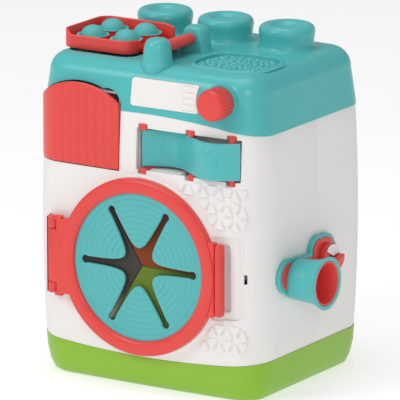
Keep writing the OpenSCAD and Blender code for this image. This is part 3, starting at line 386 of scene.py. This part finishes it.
def prism(points, lo, hi, axis="z"):
    """Prism over a counter-clockwise outline, along Z or, for outlines in X and Z, along Y."""
    if axis == "z":
        return skin([[(x, y, h) for x, y in points] for h in (lo, hi)])
    return skin([[(x, h, z) for x, z in points] for h in (hi, lo)])


def together(*parts):
    verts = []
    faces = []
    for v, f in parts:
        faces += [tuple(i + len(verts) for i in face) for face in f]
        verts += v
    return verts, faces


def plain_mesh(name, part):
    me = bpy.data.meshes.new(name)
    me.from_pydata([tuple(0.001 * c for c in v) for v in part[0]], [], part[1])
    me.validate()
    return me


def placed(name, data):
    """New object in the scene."""
    o = bpy.data.objects.new(name, data)
    bpy.context.scene.collection.objects.link(o)
    return o


def carve(base, cutters, kind="DIFFERENCE"):
    """Cuts solids out of a solid, or joins them to it, and returns what comes out."""
    blank = placed("blank", plain_mesh("blank", base))
    tools = []
    for part in cutters:
        tool = placed("cutter", plain_mesh("cutter", part))
        tools.append(tool)
        cut = blank.modifiers.new("cut", "BOOLEAN")
        cut.object = tool
        cut.operation = kind
        cut.solver = "MANIFOLD"
    done = blank.evaluated_get(bpy.context.evaluated_depsgraph_get()).to_mesh()
    verts = [tuple(1000 * c for c in v.co) for v in done.vertices]
    faces = [tuple(f.vertices) for f in done.polygons]
    for o in (*tools, blank):
        bpy.data.objects.remove(o)
    return verts, faces


def piece(name, part, body, slot, replaces=(), radius=0.0, angle=38):
    """A piece of the scene that rides on its body; the radius of its edges is in metres."""
    me = plain_mesh(name, part)
    me.materials.append(mats[slot])
    o = placed(name, me)
    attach(o, body)
    if replaces:
        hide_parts(*replaces)
    moulded(o, radius, angle, dissolve=0)


# ---------------------------------------------------------------- front wall and its triangle relief
def front_wall(x, z):
    """Distance of the front wall along Y, from its swell, its bow and its rounded corner."""
    out = SWELL * (1 - ((z - WALL_MID) / WALL_HALF) ** 2)
    r = CORNER + out
    y = -(HALF_D + out)
    bow = BOW * (1 - min(1.0, (x / (HALF_W + out)) ** 2))
    reach = abs(x) - CORNER_X
    if reach <= 0:
        return y - bow
    drop = r - math.sqrt(max(0.0, r * r - reach * reach))
    return y + drop - bow * max(0.0, 1 - drop / r)


def onto_front(x, z):
    """Slides a point of the flat relief pattern onto the front wall along the mould's pull."""
    t = 0.0
    for _ in range(30):
        t = front_wall(x - PULL_X * t, z - PULL_Z * t) - PATTERN_Y
    x -= PULL_X * t
    z -= PULL_Z * t
    return x, front_wall(x, z), z


def relief_tile(cx, cz, up):
    """One raised triangle: a low pad that stands proudest at its lower edge."""
    high = TILE * 0.866
    tips = [(-TILE / 2, -high / 3), (TILE / 2, -high / 3), (0.0, 2 * high / 3)]
    if not up:
        tips = [(-x, -z) for x, z in tips]
    low = min(z for _, z in tips)
    rings = []
    for share, rise in ((0.86, -0.8), (0.86, 0.02), (0.64, None), (0.40, None), (0.05, None)):
        ring = []
        for (ax, az), (bx, bz) in zip(tips, (*tips[1:], tips[0])):
            for t in (0.14, 0.38, 0.62, 0.86):
                x = share * (ax + (bx - ax) * t)
                z = share * (az + (bz - az) * t)
                lift = 0.9 + 2.0 * (1 - (z - low) / high) if rise is None else rise
                px, py, pz = onto_front(cx + x, cz + z)
                nx = max(0.0, px - CORNER_X) / CORNER
                ring.append((px + lift * nx, py - lift * math.sqrt(max(0.0, 1 - nx * nx)), pz))
        rings.append(ring)
    return skin(rings)


# Foot of each row, then the first X and the number of its hanging and of its standing triangles.
RELIEF_ROWS = (
    (179.9, 39.1, 5, 46.9, 4),
    (166.4, 62.5, 3, 70.3, 3),
    (152.9, 70.3, 3, 78.1, 2),
    (56.9, 78.4, 2, 70.6, 3),
    (43.4, 70.6, 3, 62.8, 3),
)


def relief():
    tiles = []
    for foot, x_down, downs, x_up, ups in RELIEF_ROWS:
        tiles += [relief_tile(x_down + TILE * k, foot + ROW * 2 / 3, False) for k in range(downs)]
        tiles += [relief_tile(x_up + TILE * k, foot + ROW / 3, True) for k in range(ups)]
    piece("relief_tiles", together(*tiles), "machine", "white_plastic", radius=0.00035, angle=25)


relief()


# ---------------------------------------------------------------- teal cap
def seam_height(x):
    """Height of the seam between cap and case, which arches over the front."""
    r = (HALF_W ** 2 + SEAM_RISE ** 2) / (2 * SEAM_RISE)
    return CAP_FOOT + SEAM_RISE - r + math.sqrt(r * r - x * x)


def flap_top(x, grow=0.0):
    """Height of the flap's arched top with its rounded free corner, grown by a gap."""
    z = 199 + math.sqrt((68 + grow) ** 2 - (x + 66) ** 2)
    if x > -36 + grow:
        z = min(z, 250.15 + math.sqrt(max(0.0, 12 ** 2 - (x + 36 - grow) ** 2)))
    return z


def flap_zone(grow):
    """Front view of the flap, grown by a gap."""
    left = -125
    right = FLAP_EDGE + grow
    xs = [left + (right - left) * (1 - (1 - k / 60) ** 2) for k in range(61)]
    top = [(x, flap_top(x, grow)) for x in xs]
    return [(left, FLAP_FOOT - grow), (right, FLAP_FOOT - grow), *reversed(top)]


def on_plate(x, up, out):
    """Point above the inset plate, from X, the distance up its slope from its middle and the height."""
    lean = math.atan(CAP_LEAN / CAP_WALL)
    y = PLATE_Y + PLATE_SKEW * (x - PLATE_X) + up * math.sin(lean) - out * math.cos(lean)
    return x, y, PLATE_Z + up * math.cos(lean) - out * math.sin(lean)


def plate_blank(grow, low, high):
    """Closed block of the inset plate's outline, cut round beside the dial."""
    w = 34.8 + grow
    h = 12.25 + grow
    r = 3.2 + grow
    reach = 25.0 - grow
    blend = 0.3
    right = []
    for k in range(-30, 31):
        z = h * math.sin(math.radians(3 * k))
        over = max(0.0, abs(z) - h + r)
        wall = w - r + math.sqrt(max(0.0, r * r - over * over))
        disc = DIAL_X - PLATE_X - math.sqrt(reach ** 2 - (z + PLATE_Z - DIAL_Z) ** 2)
        right.append((0.5 * (wall + disc - math.sqrt((wall - disc) ** 2 + blend)), z))
    left = [(x, z) for x, z in rounded(2 * w, 2 * h, r) if x < 0]
    return skin([[on_plate(PLATE_X + x, z, t) for x, z in right + left] for t in (low, high)])


def bend(z, inset, step):
    """Heights and insets of a wall that turns over through a quarter circle."""
    turns = [math.radians(a) for a in range(step, 91, step)]
    return [(z + CAP_BEND * math.sin(a), inset + CAP_BEND * (1 - math.cos(a))) for a in turns]


def block(rows):
    """Closed block over the body's outline, from heights and insets."""
    return skin([[(x, y, z) for x, y in outline(inset)] for z, inset in rows])


def half_post(side):
    """One of the two posts of the tray's pin, pressed flat on the side of the tray's arm."""
    profile = spline([(0, -12), (8.5, -12), (11.6, -7), (13.6, -2.5), (14.0, -0.4), (13.9, 0.9),
                      (13.4, 2.2), (12.9, 6.0), (12.2, 11), (11.5, 15.5), (10.5, 18.8), (8.8, 20.9),
                      (6.4, 22.2), (3.2, 22.8), (0, 22.9)])
    verts, faces = turned(profile, (AXLE_X, AXLE_Y + side * 31.5, DECK), 72)
    plane = AXLE_Y + side * 23.0
    pressed = []
    for x, y, z in verts:
        past = (plane - y) * side
        pressed.append((x, y + side * (0.5 * (past + math.sqrt(past * past + 0.8)) - 0.05), z))
    return pressed, faces


def cap():
    """Teal cap with its studs, posts, basin rim, dial seat and the floor of the tray's pocket."""
    wall = [(CAP_FOOT + CAP_WALL * k / 6, -0.8 + CAP_LEAN * k / 6) for k in range(7)]
    outer = block(wall + bend(CAP_FOOT + CAP_WALL, 4, 6))
    inner = block([(230, 2.0), (CAP_FOOT, 2.2), (268, 7.0)] + bend(267, 7, 15))
    seam = [(x, seam_height(x)) for x in range(HALF_W, -HALF_W - 1, -5)]
    shell = carve(outer, [
        inner,
        prism([(-HALF_W, 230), (HALF_W, 230), *seam], -130, -64, "y"),
        prism(flap_zone(FLAP_GAP), -110.2, -50.2, "y"),
        prism(circle(-38, 250.5, 14, 72), -110.2, -50.2, "y"),
        prism(rounded(69, 77.5, 12, at=TRAY_AT), 285, 295),
        prism(rounded(69, 60, 22, at=BASIN_AT), 284, 295),
        plate_blank(0.3, -1.7, 3.0),
    ])
    bed = prism(rounded(73, 81.5, 14, at=TRAY_AT), 282.6, 284.9)
    stud = spline([(0, -3), (27.4, -3), (27.0, 0), (25.6, 0.8), (24.6, 2.2), (24.1, 4.2), (23.9, 7.0),
                   (24.2, 10.2), (24.7, 13.2), (24.75, 15.6), (24.2, 17.8), (22.8, 19.7), (20.6, 20.8),
                   (18.2, 21), (16.0, 20.6), (14.0, 19.6), (12.2, 18.2), (10.2, 17.0), (7.0, 16.3),
                   (3.5, 16.05), (0, 16)])
    studs = [turned(stud, (x, 41.4, DECK), 96) for x in (-63, 0, 63)]
    posts = [half_post(side) for side in (-1, 1)]
    rim_profile = spline([(-0.2, -4.2), (-0.1, 0.6), (0.5, 1.25), (1.4, 1.4), (2.4, 1.1), (3.4, 0.45),
                          (4.6, 0.06), (5.4, -0.4)])
    rim = skin([[(x, y, DECK + h) for x, y in rounded(69 + 2 * g, 60 + 2 * g, 22 + g, 16, BASIN_AT)]
                for g, h in reversed(rim_profile)], ring=True)
    seat = skin([[(x, y, z) for x, z in circle(DIAL_X, DIAL_Z, r, 64)]
                 for y, r in ((-84, 15.5), (-91.4, 15.5), (-91.8, 15.1))])
    whole = together(shell, bed, *studs, *posts, rim, seat)
    piece("cap_shell", whole, "machine", "teal_plastic", ("top_cap",))


cap()


# ---------------------------------------------------------------- door: soft star panel
def resample(points, step):
    """Evenly spaced points along a closed curve."""
    p = np.array(points + points[:1], float)
    run = np.concatenate([[0], np.cumsum(np.hypot(*np.diff(p, axis=0).T))])
    at = np.linspace(0, run[-1], int(run[-1] / step), endpoint=False)
    return np.stack([np.interp(at, run, p[:, 0]), np.interp(at, run, p[:, 1])], 1)


def star_outline():
    """Closed outline of the star slit: six rounded petals with a round end to every slit between them."""
    half = 29.25  # half the angle of a petal, a little short of 30 degrees
    turns = [half * math.sin(math.radians(90 * t / 24)) for t in range(25)]

    def petal(axis, phi):
        edge = 12.6 * (1 - (phi / 30) ** 2) ** -0.43
        a = math.radians(axis)
        b = math.radians(axis + phi)
        return 4.4 * math.cos(a) + edge * math.cos(b), 4.4 * math.sin(a) + edge * math.sin(b)
    points = []
    for k in range(6):
        axis = 60 * k
        a = math.radians(axis)
        points += [petal(axis - 30, phi) for phi in turns]
        points += arc(55.2 * math.cos(a), 55.2 * math.sin(a), 3.5, axis - 125, axis + 125, 25)
        points += [petal(axis + 30, -phi) for phi in reversed(turns[1:])]
    return points


def inside(curve, points):
    """Which points lie within a closed curve, by counting the edges that a line to the right crosses."""
    x0, y0 = curve.T
    x1, y1 = np.roll(curve, -1, 0).T
    x = points[:, :1]
    y = points[:, 1:]
    cross = ((y0 > y) != (y1 > y)) & (x < (x1 - x0) * (y - y0) / (y1 - y0 + 1e-12) + x0)
    return cross.sum(1) % 2 == 1


def unit(vectors):
    return vectors / np.linalg.norm(vectors, axis=1)[:, None]


def star_panel():
    """Soft panel with nine turned grooves and rounded lips along the star slit."""
    star = resample(star_outline(), 0.8)
    along = unit(unit(np.roll(star, -1, 0) - star) + unit(star - np.roll(star, 1, 0)))
    out = np.stack([along[:, 1], -along[:, 0]], 1)
    steps = (0.0, 0.1, 0.3, 0.6, 1.0, 1.5, 2.2)
    grid = np.array([(r * math.cos(a), r * math.sin(a))
                     for i, r in enumerate(np.arange(14.0, 67.0, 0.66))
                     for a in [2 * math.pi * (k + 0.5 * (i % 2)) / 150 for k in range(150)]])
    gap = np.min(np.linalg.norm(grid[:, None] - star[None], axis=2), axis=1)
    keep = (gap > 2.6) & ~inside(star, grid)
    rim = np.array(circle(0, 0, 68.6, 240))
    flat = np.concatenate([*(star + out * d for d in steps), grid[keep], rim])
    n = len(star)
    m = len(rim)
    first = len(flat) - m
    edges = [(k, (k + 1) % n) for k in range(n)]
    edges += [(first + k, first + (k + 1) % m) for k in range(m)]
    spots = [Vector(p) for p in flat.tolist()]
    pts, _, tris, sources, _, _ = delaunay_2d_cdt(spots, edges, [], 0, 1e-5)
    pts = np.array([tuple(p) for p in pts])
    depth = np.full(len(pts), 9.0)  # distance from the slit's edge, where a point is close to it
    for i, source in enumerate(sources):
        if source and source[0] < n * len(steps):
            depth[i] = steps[source[0] // n]
    tris = [t for t in tris if not all(depth[i] == 0.0 for i in t)]
    middles = np.array([pts[list(t)].mean(0) for t in tris])
    tris = [t for t, hole in zip(tris, inside(star, middles)) if not hole]
    r = np.hypot(*pts.T)
    pitch = 47.5 / 9
    groove = (63.5 - r) % pitch - pitch / 2
    face = 102.4 - 0.85 * np.exp(-(groove / 0.8) ** 2) * (r < 63.4) * np.clip((depth - 0.5) / 2.2, 0, 1)
    face -= 1.5 - np.sqrt(1.5 ** 2 - np.clip(1.5 - depth, 0, 1.5) ** 2)
    front = [(x, -f, DOOR_Z + z) for (x, z), f in zip(pts, face)]
    rear = [(x, -100.15, DOOR_Z + z) for x, z in pts]
    k = len(pts)
    sides = dict.fromkeys(e for t in tris for e in zip(t, (*t[1:], t[0])))
    faces = [tuple(t) for t in tris] + [tuple(i + k for i in reversed(t)) for t in tris]
    faces += [(b, a, a + k, b + k) for a, b in sides if (b, a) not in sides]
    piece("star_membrane", (front + rear, faces), "door", "teal_soft", ("star_panel",))


star_panel()


# ---------------------------------------------------------------- door: ring, hinge, handle and laps
def door():
    """Turned ring of the door, its leaf rolled round the pin, and the hinge cover on the case."""
    face = spline([(79, 0), (79, 3.6), (78.8, 5.2), (78.1, 6.6), (77.0, 7.4), (75.2, 7.85), (72, 8.0),
                   (69.6, 7.85), (67.6, 7.3), (66.2, 6.3), (65.6, 5.0), (65.5, 4.0)])
    loops = [[(x, -DOOR_BACK - y, z) for x, z in circle(0, DOOR_Z, r, 180)]
             for r, y in [*face, (69.1, 4.0), (69.1, 0)]]
    ring = flipped(skin(loops, ring=True))
    piece("door_ring_turned", ring, "door", "red_plastic", ("door_ring",))
    turn = math.degrees(math.asin(4.5 / 5.05))
    roll = arc(PIN_X, PIN_Y, 5.05, 140, 180 + turn, 10)
    leaf = [(-70, -DOOR_BACK), (-87, -98.2), *roll, (-70, -106.0)]
    plate = [(-70, -DOOR_BACK), (-82.7, -DOOR_BACK), *arc(-82.4, -105.7, 0.3, 180, 270, 3), (-70, -106.0)]
    ear = [(-84.6, -101.2), (-84.6, -106.0), (-77.6, -106.0), (-77.6, -101.2)]
    ends = [prism(plate, 78.1, 145.1), prism(ear, 75.7, 80), prism(ear, 144, 147.9)]
    whole = carve(prism(leaf, 87.8, 135.4), ends, "UNION")
    piece("hinge_leaf", whole, "door", "red_plastic", radius=0.0005, angle=50)
    cover = [(-93.3, front_wall(-96, 111)), (-98.4, front_wall(-98.4, 111) + 0.6), (-96.2, -97.0),
             *arc(PIN_X, PIN_Y, 6.2, 176, 206), (-93.3, -104.8)]
    knuckle = [(-93.9, -97.0), *arc(PIN_X, PIN_Y, 5.0, 180, 268), *arc(PIN_X, PIN_Y, 4.5, -60, 60),
               (PIN_X, -97.0)]
    ends = [prism(knuckle, 77.6, 87.4), prism(knuckle, 135.8, 145.6)]
    whole = carve(prism(cover, 77.6, 145.6), ends, "UNION")
    piece("hinge_cover", whole, "machine", "red_plastic", ("hinge_bracket",), radius=0.0005, angle=50)


def handle():
    """Door handle: a flat root beside the ring and an upright roll with rounded ends."""
    section = [(79.4, -DOOR_BACK), *arc(82.4, -103.2, 3.0, 180, 270, 6),
               *arc(82.9, -103.2, 3.0, 270, 360, 6), (85.9, -DOOR_BACK)]
    middle = 82.65
    bends = [math.radians(15 * k) for k in range(7)]
    loops = []
    for side, turns in ((-1, bends), (1, bends[::-1])):
        for a in turns:
            drawn = 3.0 * (1 - math.sin(a))
            z = HANDLE_Z + side * (29.2 + 3.0 * math.cos(a))
            loops.append([(middle + (x - middle) * (1 - drawn / 4.2),
                           -DOOR_BACK + (y + DOOR_BACK) * (1 - drawn / 8.0), z) for x, y in section])
    root = prism(rounded(10.4, 66.4, 1.5, 4, (73.4, HANDLE_Z)), -104.9, -DOOR_BACK, "y")
    link = prism(rounded(12.0, 60, 1.5, 4, (76.0, HANDLE_Z)), -102.6, -DOOR_BACK, "y")
    whole = carve(skin(loops), [root, link], "UNION")
    disc = prism(circle(0, DOOR_Z, 78.8, 240), -112, -96, "y")
    whole = carve(whole, [disc])
    piece("handle_roll", whole, "door", "red_plastic", ("handle_tab",), radius=0.0004, angle=50)


def laps():
    """Narrow strips of thin sheet that close the seams between the three veils from behind."""
    spots = [1000 * v.co for v in nodes["veil_red"].data.vertices]
    deep = max(p.y for p in spots)
    rim = max(p.y for p in spots if math.hypot(p.x, p.z - DOOR_Z) > 58)
    section = ((-1.2, 0.3), (-1.2, 0.0), (1.2, 0.0), (1.2, 0.3))
    for k, slot in enumerate(("green_soft", "white_soft", "white_soft")):
        c = math.cos(math.radians(120 * k))
        s = math.sin(math.radians(120 * k))
        loops = []
        for r in (-0.5, 20, 40, 58):
            y = deep + (rim - deep) * max(0.0, r) / 60.7 + 0.15
            loops.append([(r * c - t * s, y + h, DOOR_Z + r * s + t * c) for t, h in section])
        piece("seam_lap_%d" % (k + 1), skin(loops), "door", slot)


door()
handle()
laps()


# ---------------------------------------------------------------- corner flap
def flap_plan():
    """Plan path of the flap's face from its free end to its hinge, with the normal outwards."""
    wide = HALF_W + FLAP_OUT
    r = CORNER + FLAP_OUT
    path = []
    for k in range(150):
        x = FLAP_EDGE - (CORNER_X + FLAP_EDGE) * k / 149
        path.append((x, -HALF_D - FLAP_OUT - BOW * (1 - (x / wide) ** 2), 0.0, -1.0))
    for k in range(1, 100):
        a = math.radians(90 * k / 99)
        bow = BOW * (1 - (CORNER_X / wide) ** 2) * (1 - math.sin(a)) * math.cos(a)
        x = -CORNER_X - r * math.sin(a)
        y = -CORNER_Y - r * math.cos(a) - bow
        path.append((x, y, -math.sin(a), -math.cos(a)))
    return path + [(-wide, -CORNER_Y + 6 * k / 9, -1.0, 0.0) for k in range(1, 10)]


def flap():
    """Flap that wraps the corner, with eight upright flutes, its barrel and the arm between them."""
    edge = 1.4
    steps = (0, 0.1, 0.35, 0.8, edge)
    flutes = [-30.5 - 8.8 * k for k in range(8)]
    path = flap_plan()
    run = 0.0
    last = path[0]
    loops = []
    for x, y, nx, ny in path:
        run += math.hypot(x - last[0], y - last[1])
        last = (x, y)
        tall = flap_top(x) - FLAP_FOOT
        heights = {*steps, *(tall - s for s in steps)}
        heights |= {edge + (tall - 2 * edge) * k / 44 for k in range(1, 44)}
        front = []
        back = []
        for h in sorted(heights):
            close = max(0.0, edge - min(h, tall - h, run))
            sink = edge - math.sqrt(edge ** 2 - close ** 2)
            top = min(1.0, max(0.0, (tall - 5.0 - h) / 0.9))
            fade = top * (3 - 2 * top) * min(1.0, h / 2.0)
            for flute in flutes:
                if abs(x - flute) < 2.5:
                    sink -= 0.7 * math.exp(-((x - flute) / 0.75) ** 2) * fade
            front.append((x - nx * sink, y - ny * sink, FLAP_FOOT + h))
            back.append((x - nx * 3.0, y - ny * 3.0, FLAP_FOOT + h))
        loops.append([*front, *reversed(back)])
    barrel = turned([(0, FLAP_FOOT), (3.5, FLAP_FOOT), (3.5, 241.5), (0, 241.5)], (-113.9, -54.5, 0), 40)
    arm = prism([(-117.4, -58.2), (-114.4, -58.2), (-114.4, -54.5), (-117.4, -54.5)], FLAP_FOOT, 241.5)
    whole = together(flipped(skin(loops)), barrel, arm)
    piece("flap_face", whole, "flap", "red_plastic", ("corner_flap",))


flap()


# ---------------------------------------------------------------- tray, collars and domes
def tray_wall():
    """The tray's wall, from the rear of its tongue round to the front of it, lowered at the front."""
    left = -105.0
    right = -32.0
    front = -63.45
    rear = 6.05
    r = 12

    def line(a, b, normal, n):
        return [(a[0] + (b[0] - a[0]) * k / n, a[1] + (b[1] - a[1]) * k / n, *normal) for k in range(n)]

    def corner(x, y, start):
        spots = arc(x, y, r, start, start + 90, 12)
        return [(px, py, (px - x) / r, (py - y) / r) for px, py in spots]
    path = line((-30.5, rear), (left + r, rear), (0, 1), 24)
    path += corner(left + r, rear - r, 90)
    path += line((left, rear - r), (left, front + r), (-1, 0), 20)[1:]
    path += corner(left + r, front + r, 180)
    path += line((left + r, front), (right - r, front), (0, -1), 24)[1:]
    path += corner(right - r, front + r, 270)
    path += line((right, front + r), (right, front + r + 8), (1, 0), 6)[1:]
    loops = []
    last = len(path) - 1
    for i, (x, y, nx, ny) in enumerate(path):
        dip = min(1.0, max(0.0, (x - left - 2.5) / 8.5)) if y < -30 else 0.0
        top = 304.5 - 4.1 * dip * dip * (3 - 2 * dip)
        if i < 4:
            top -= 3.4 * (1 - (i / 4) ** 0.5)
        if i > last - 5:
            top -= 6.5 * (1 - ((last - i) / 5) ** 0.5)
        section = [(-2.2, 289.4), (-1.7, 288.7), (-0.9, 288.5), (-0.3, 288.7), (0.0, 289.6),
                   (0.0, top - 1.3), (-0.15, top - 0.7), (-0.5, top - 0.2), (-1.1, top),
                   (-1.7, top - 0.2), (-2.05, top - 0.7), (-2.2, top - 1.3)]
        loops.append([(x + nx * d, y + ny * d, z) for d, z in section])
    return skin(loops)


def tray_tongue():
    """Tongue that rises from the tray to its pin and closes round it."""
    side = [(-37.5, 288.6), (-30, 288.6), (-22, 289.9), (-14, 292.2), (-7, 294.2), (-1, 295.3), (3, 295)]
    side += arc(AXLE_X, AXLE_Z, 5, -75, 75, 10)
    side += [(3, 305), (-0.5, 304.3), (-3.5, 303.0), (-8, 301.4), (-14, 299.4), (-20, 296.7),
             (-27, 293.2), (-33, 291.2), (-37.5, 290.8)]
    middle = sum(x for x, _ in side) / len(side)
    front = ([-38, -31, -25, -18, -12, 8], [-46, -47, -52, -62, -65.9, -65.9])
    rear = ([-38, -31, -28, -24, -18, -12, 8], [2.5, 1.5, -6, -14, -20, -21.1, -21.1])
    steps = ((0.92, 0.0), (0.98, 0.35), (1.0, 1.1))
    loops = []
    for edge, inwards, order in ((front, 1, steps), (rear, -1, steps[::-1])):
        for share, off in order:
            shrink = 1 - share
            loops.append([(x + (middle - x) * shrink * 0.15, np.interp(x, *edge) + inwards * off,
                           z + (297 - z) * shrink) for x, z in side])
    return flipped(skin(loops))


def tray():
    """Tray of the press domes, the flanges of the domes and the four domes."""
    holes = [prism(circle(x, y, 12, 48), 287, 292) for x, y in sorted(DOMES)]
    floor = carve(prism(rounded(71.5, 68, 11.3, at=(-68.5, -28.7)), 288.5, 290.5), holes)
    sleeve = ((11.5, 289), (11.5, 296.5), (13.2, 296.9), (12.4, 295.9), (12.2, 289))
    sleeves = [ring_about(at, sleeve) for at in DOMES]
    whole = together(tray_wall(), floor, tray_tongue(), *sleeves)
    piece("tray_shell", whole, "tray", "red_plastic", ("tray",))
    collar = spline([(11.4, 296.4), (11.4, 296.9), (11.5, 297.7), (12.1, 298.1), (13.4, 298.2),
                     (14.2, 298.1), (14.5, 297.7), (14.2, 297.2), (13.0, 296.8), (12.3, 296.4)])
    flanges = together(*[ring_about(at, collar) for at in DOMES])
    piece("dome_flanges", flanges, "tray", "teal_soft", ("dome_collars",))
    crown = [(0, 0), (11, 0), (11, 5)]
    crown += [(11 * math.cos(math.radians(a)), 5 + 9.5 * math.sin(math.radians(a))) for a in range(5, 86, 5)]
    crown += [(0, 14.5)]
    for k, (x, y) in enumerate(DOMES):
        body = "dome_%d" % (k + 1)
        dome = turned(crown, (x, y, DOME_FOOT), 72)
        piece("dome_cap_%d" % (k + 1), dome, body, "teal_soft", (body,))


tray()


# ---------------------------------------------------------------- window band with its two round dimples
DIMPLES = ((22.0, 216.0, 11.5, -1.0), (71.5, 215.5, 11.0, 1.5))  # middle, radius and height


def band():
    """Wavy band with a dimple pressed in and one pressed out, each with a fine rim."""
    lip_width = 0.74
    loops = []
    for x in np.linspace(BAND_X - BAND_L / 2, BAND_X + BAND_L / 2, 170):
        phase = 2 * math.pi * (x - BAND_X) / BAND_L
        slope = -BAND_WAVE * 2 * math.pi / BAND_L * math.cos(phase)
        y = -HALF_D - BAND_WAVE * math.sin(phase)
        n = math.hypot(1, slope)
        nx = slope / n
        ny = -1 / n
        front = []
        back = []
        for k in range(45):
            up = BAND_H * k / 44
            z = BAND_FOOT + up
            d = 0.0
            for cx, cz, r, h in DIMPLES:
                q = math.hypot((x - cx) * n, z - cz) / r
                if q < 1:
                    rim = 0.35 if h > 0 else -0.3
                    d += h * (1 - q ** 2.6) + rim * math.exp(-((q - 0.86) / 0.07) ** 2)
            d -= 0.35 * max(0.0, 1 - min(up, BAND_H - up) / lip_width)
            front.append((x + nx * (1 + d), y + ny * (1 + d), z))
            back.append((x - nx * (1 - d), y - ny * (1 - d), z))
        loops.append([*front, *reversed(back)])
    piece("wave_sheet", flipped(skin(loops)), "machine", "teal_plastic", ("wave_band",))


band()


# ---------------------------------------------------------------- pebbled pad in the basin
def pebbles():
    """Irregular faceted pebbles packed in the basin, each a squashed ball with its own flats."""
    rng = np.random.default_rng(7)
    cx, cy = BASIN_AT
    spots = []
    for _ in range(9000):
        x = rng.uniform(-32, 32)
        y = rng.uniform(-27.5, 27.5)
        r = rng.uniform(1.5, 3.4)
        if math.hypot(max(0.0, abs(x) - 11.5), max(0.0, abs(y) - 7.0)) > 21.2 - r * 0.8:
            continue
        if all((x - a) ** 2 + (y - b) ** 2 > (0.83 * (r + c)) ** 2 for a, b, c in spots):
            spots.append((x, y, r))
    parts = []
    for x, y, r in spots:
        cuts = unit(rng.normal(size=(9, 3)))
        squashed = min(r, 2.6) * 0.8
        loops = []
        for i in range(1, 9):
            lat = math.pi * (i / 9 - 0.5)
            loop = []
            for px, py in circle(0, 0, math.cos(lat), 14):
                d = np.array([px, py, math.sin(lat)])
                d *= min(1.0, 0.86 / max(1e-3, float((cuts @ d).max())))
                loop.append((cx + x + r * d[0], cy + y + r * d[1], 286.3 + squashed * d[2]))
            loops.append(loop)
        parts.append(skin(loops))
    pad = prism(rounded(68, 59, 21.5, at=BASIN_AT), 284.02, 286.4)
    piece("pebble_pad", together(pad, *parts), "machine", "teal_plastic", ("bubble_plate",))


pebbles()


# ---------------------------------------------------------------- small trim
def plate():
    """White inset plate, cut round at the dial, with five engraved scale ticks."""
    bars = []
    for k in range(-2, 3):
        up = 5.3 * k
        middle = 43.6 + 0.3 * abs(k + 1)
        length = 11.0 + 0.6 * max(0, k)
        bar = rounded(length, 0.75, 0.37, 4)
        bars.append(skin([[on_plate(x + middle, up + z, h) for x, z in bar] for h in (-0.35, 1.0)]))
    face = carve(plate_blank(0.0, -1.9, 0.35), bars)
    piece("plate_face", face, "machine", "white_plastic", ("inset_plate",), radius=0.0002, angle=50)


def lip():
    """Low rounded lip along the top, the right and the bottom of the finger recess."""
    path = [(83.0, 149.4), *arc(94.1, 143.4, 6, 90, 0, 9), *arc(94.1, 79.8, 6, 0, -90, 9), (83.0, 73.8)]
    section = ((-1.0, -0.6), (1.0, -0.6), (1.0, 0.05), (0.6, 0.45), (0.0, 0.6), (-0.6, 0.45), (-1.0, 0.05))
    half = 1.1
    last = len(path) - 1
    loops = []
    for i, (x, z) in enumerate(path):
        a = path[max(0, i - 1)]
        b = path[min(last, i + 1)]
        dx = b[0] - a[0]
        dz = b[1] - a[1]
        n = math.hypot(dx, dz)
        fade = 0.25 if i in (0, last) else 1.0
        loop = []
        for t, h in section:
            px = x - dz / n * t * half
            pz = z + dx / n * t * half
            loop.append((px, front_wall(px, pz) - h * fade, pz))
        loops.append(loop)
    piece("recess_lip", skin(loops), "machine", "white_plastic")


def lining():
    """White lining of the window's sill and left jamb, close behind the opening."""
    sill = [(-10.4, -89), (36, -89), (36, -78.6), (33, -78.2), (-10.4, -78.2)]
    jamb = [(-10.4, -89), (-6.2, -89), (-6.2, -70), (-10.4, -70)]
    whole = carve(prism(sill, 193.8, 197.1), [prism(jamb, 193.8, 236)], "UNION")
    piece("window_lining", whole, "machine", "white_plastic", radius=0.0003, angle=50)


plate()
lip()
lining()


# ---------------------------------------------------------------- stage, light, camera; sizes in metres
def floor_sheet(name, radius, z):
    """Flat round sheet of pale paper under the part."""
    me = bpy.data.meshes.new(name)
    me.from_pydata([(x, y, z) for x, y in circle(0, 0, radius, 96)], [], [tuple(range(96))])
    o = placed(name, me)
    s = Shader(name + " paper")
    s.set("Base Color", s.mix(s.noise(1.5), (0.55, 0.55, 0.55), (0.57, 0.57, 0.57)))
    s.set("Roughness", 0.9)
    s.set("Emission Color", (1.0, 1.0, 1.0))
    s.set("Emission Strength", 0.57)
    me.materials.append(s.mat)


def facing(name, data, at, sight):
    """New object in the scene that looks along a direction."""
    o = placed(name, data)
    o.location = at
    o.rotation_mode = "QUATERNION"
    o.rotation_quaternion = sight.to_track_quat("-Z", "Y")
    return o


def softbox(name, at, wide, high, power):
    """Area light that faces the middle of the part."""
    light = bpy.data.lights.new(name, "AREA")
    light.shape = "RECTANGLE"
    light.size = wide
    light.size_y = high
    light.energy = power
    facing(name, light, at, Vector((0.0, 0.0, 0.15)) - Vector(at))


floor_sheet("studio floor", 14.0, -0.0002)
softbox("key left", (-1.2, -2.1, 1.8), 0.9, 0.9, 20)
softbox("fill front", (1.7, -2.1, 1.2), 0.7, 0.9, 13)
softbox("top", (-0.2, -0.2, 2.2), 1.4, 1.4, 15)
world = bpy.data.worlds.new("studio air")
world.use_nodes = True
air = world.node_tree.nodes["Background"]
air.inputs["Color"].default_value = (1.0, 1.0, 1.0, 1.0)
air.inputs["Strength"].default_value = 0.38
bpy.context.scene.world = world
bpy.context.scene.view_settings.view_transform = "Standard"

lens = bpy.data.cameras.new("camera")
lens.sensor_width = 36.0
lens.lens = 512.8
lens.shift_x = 0.0045
lens.shift_y = 0.0045
lens.clip_start = 0.5
lens.clip_end = 40.0
sight = Vector((-0.51560, 0.82195, -0.24198))
target = Vector((0.0, -0.00427, 0.1496))
bpy.context.scene.camera = facing("camera", lens, target - sight * 5.0137, sight)
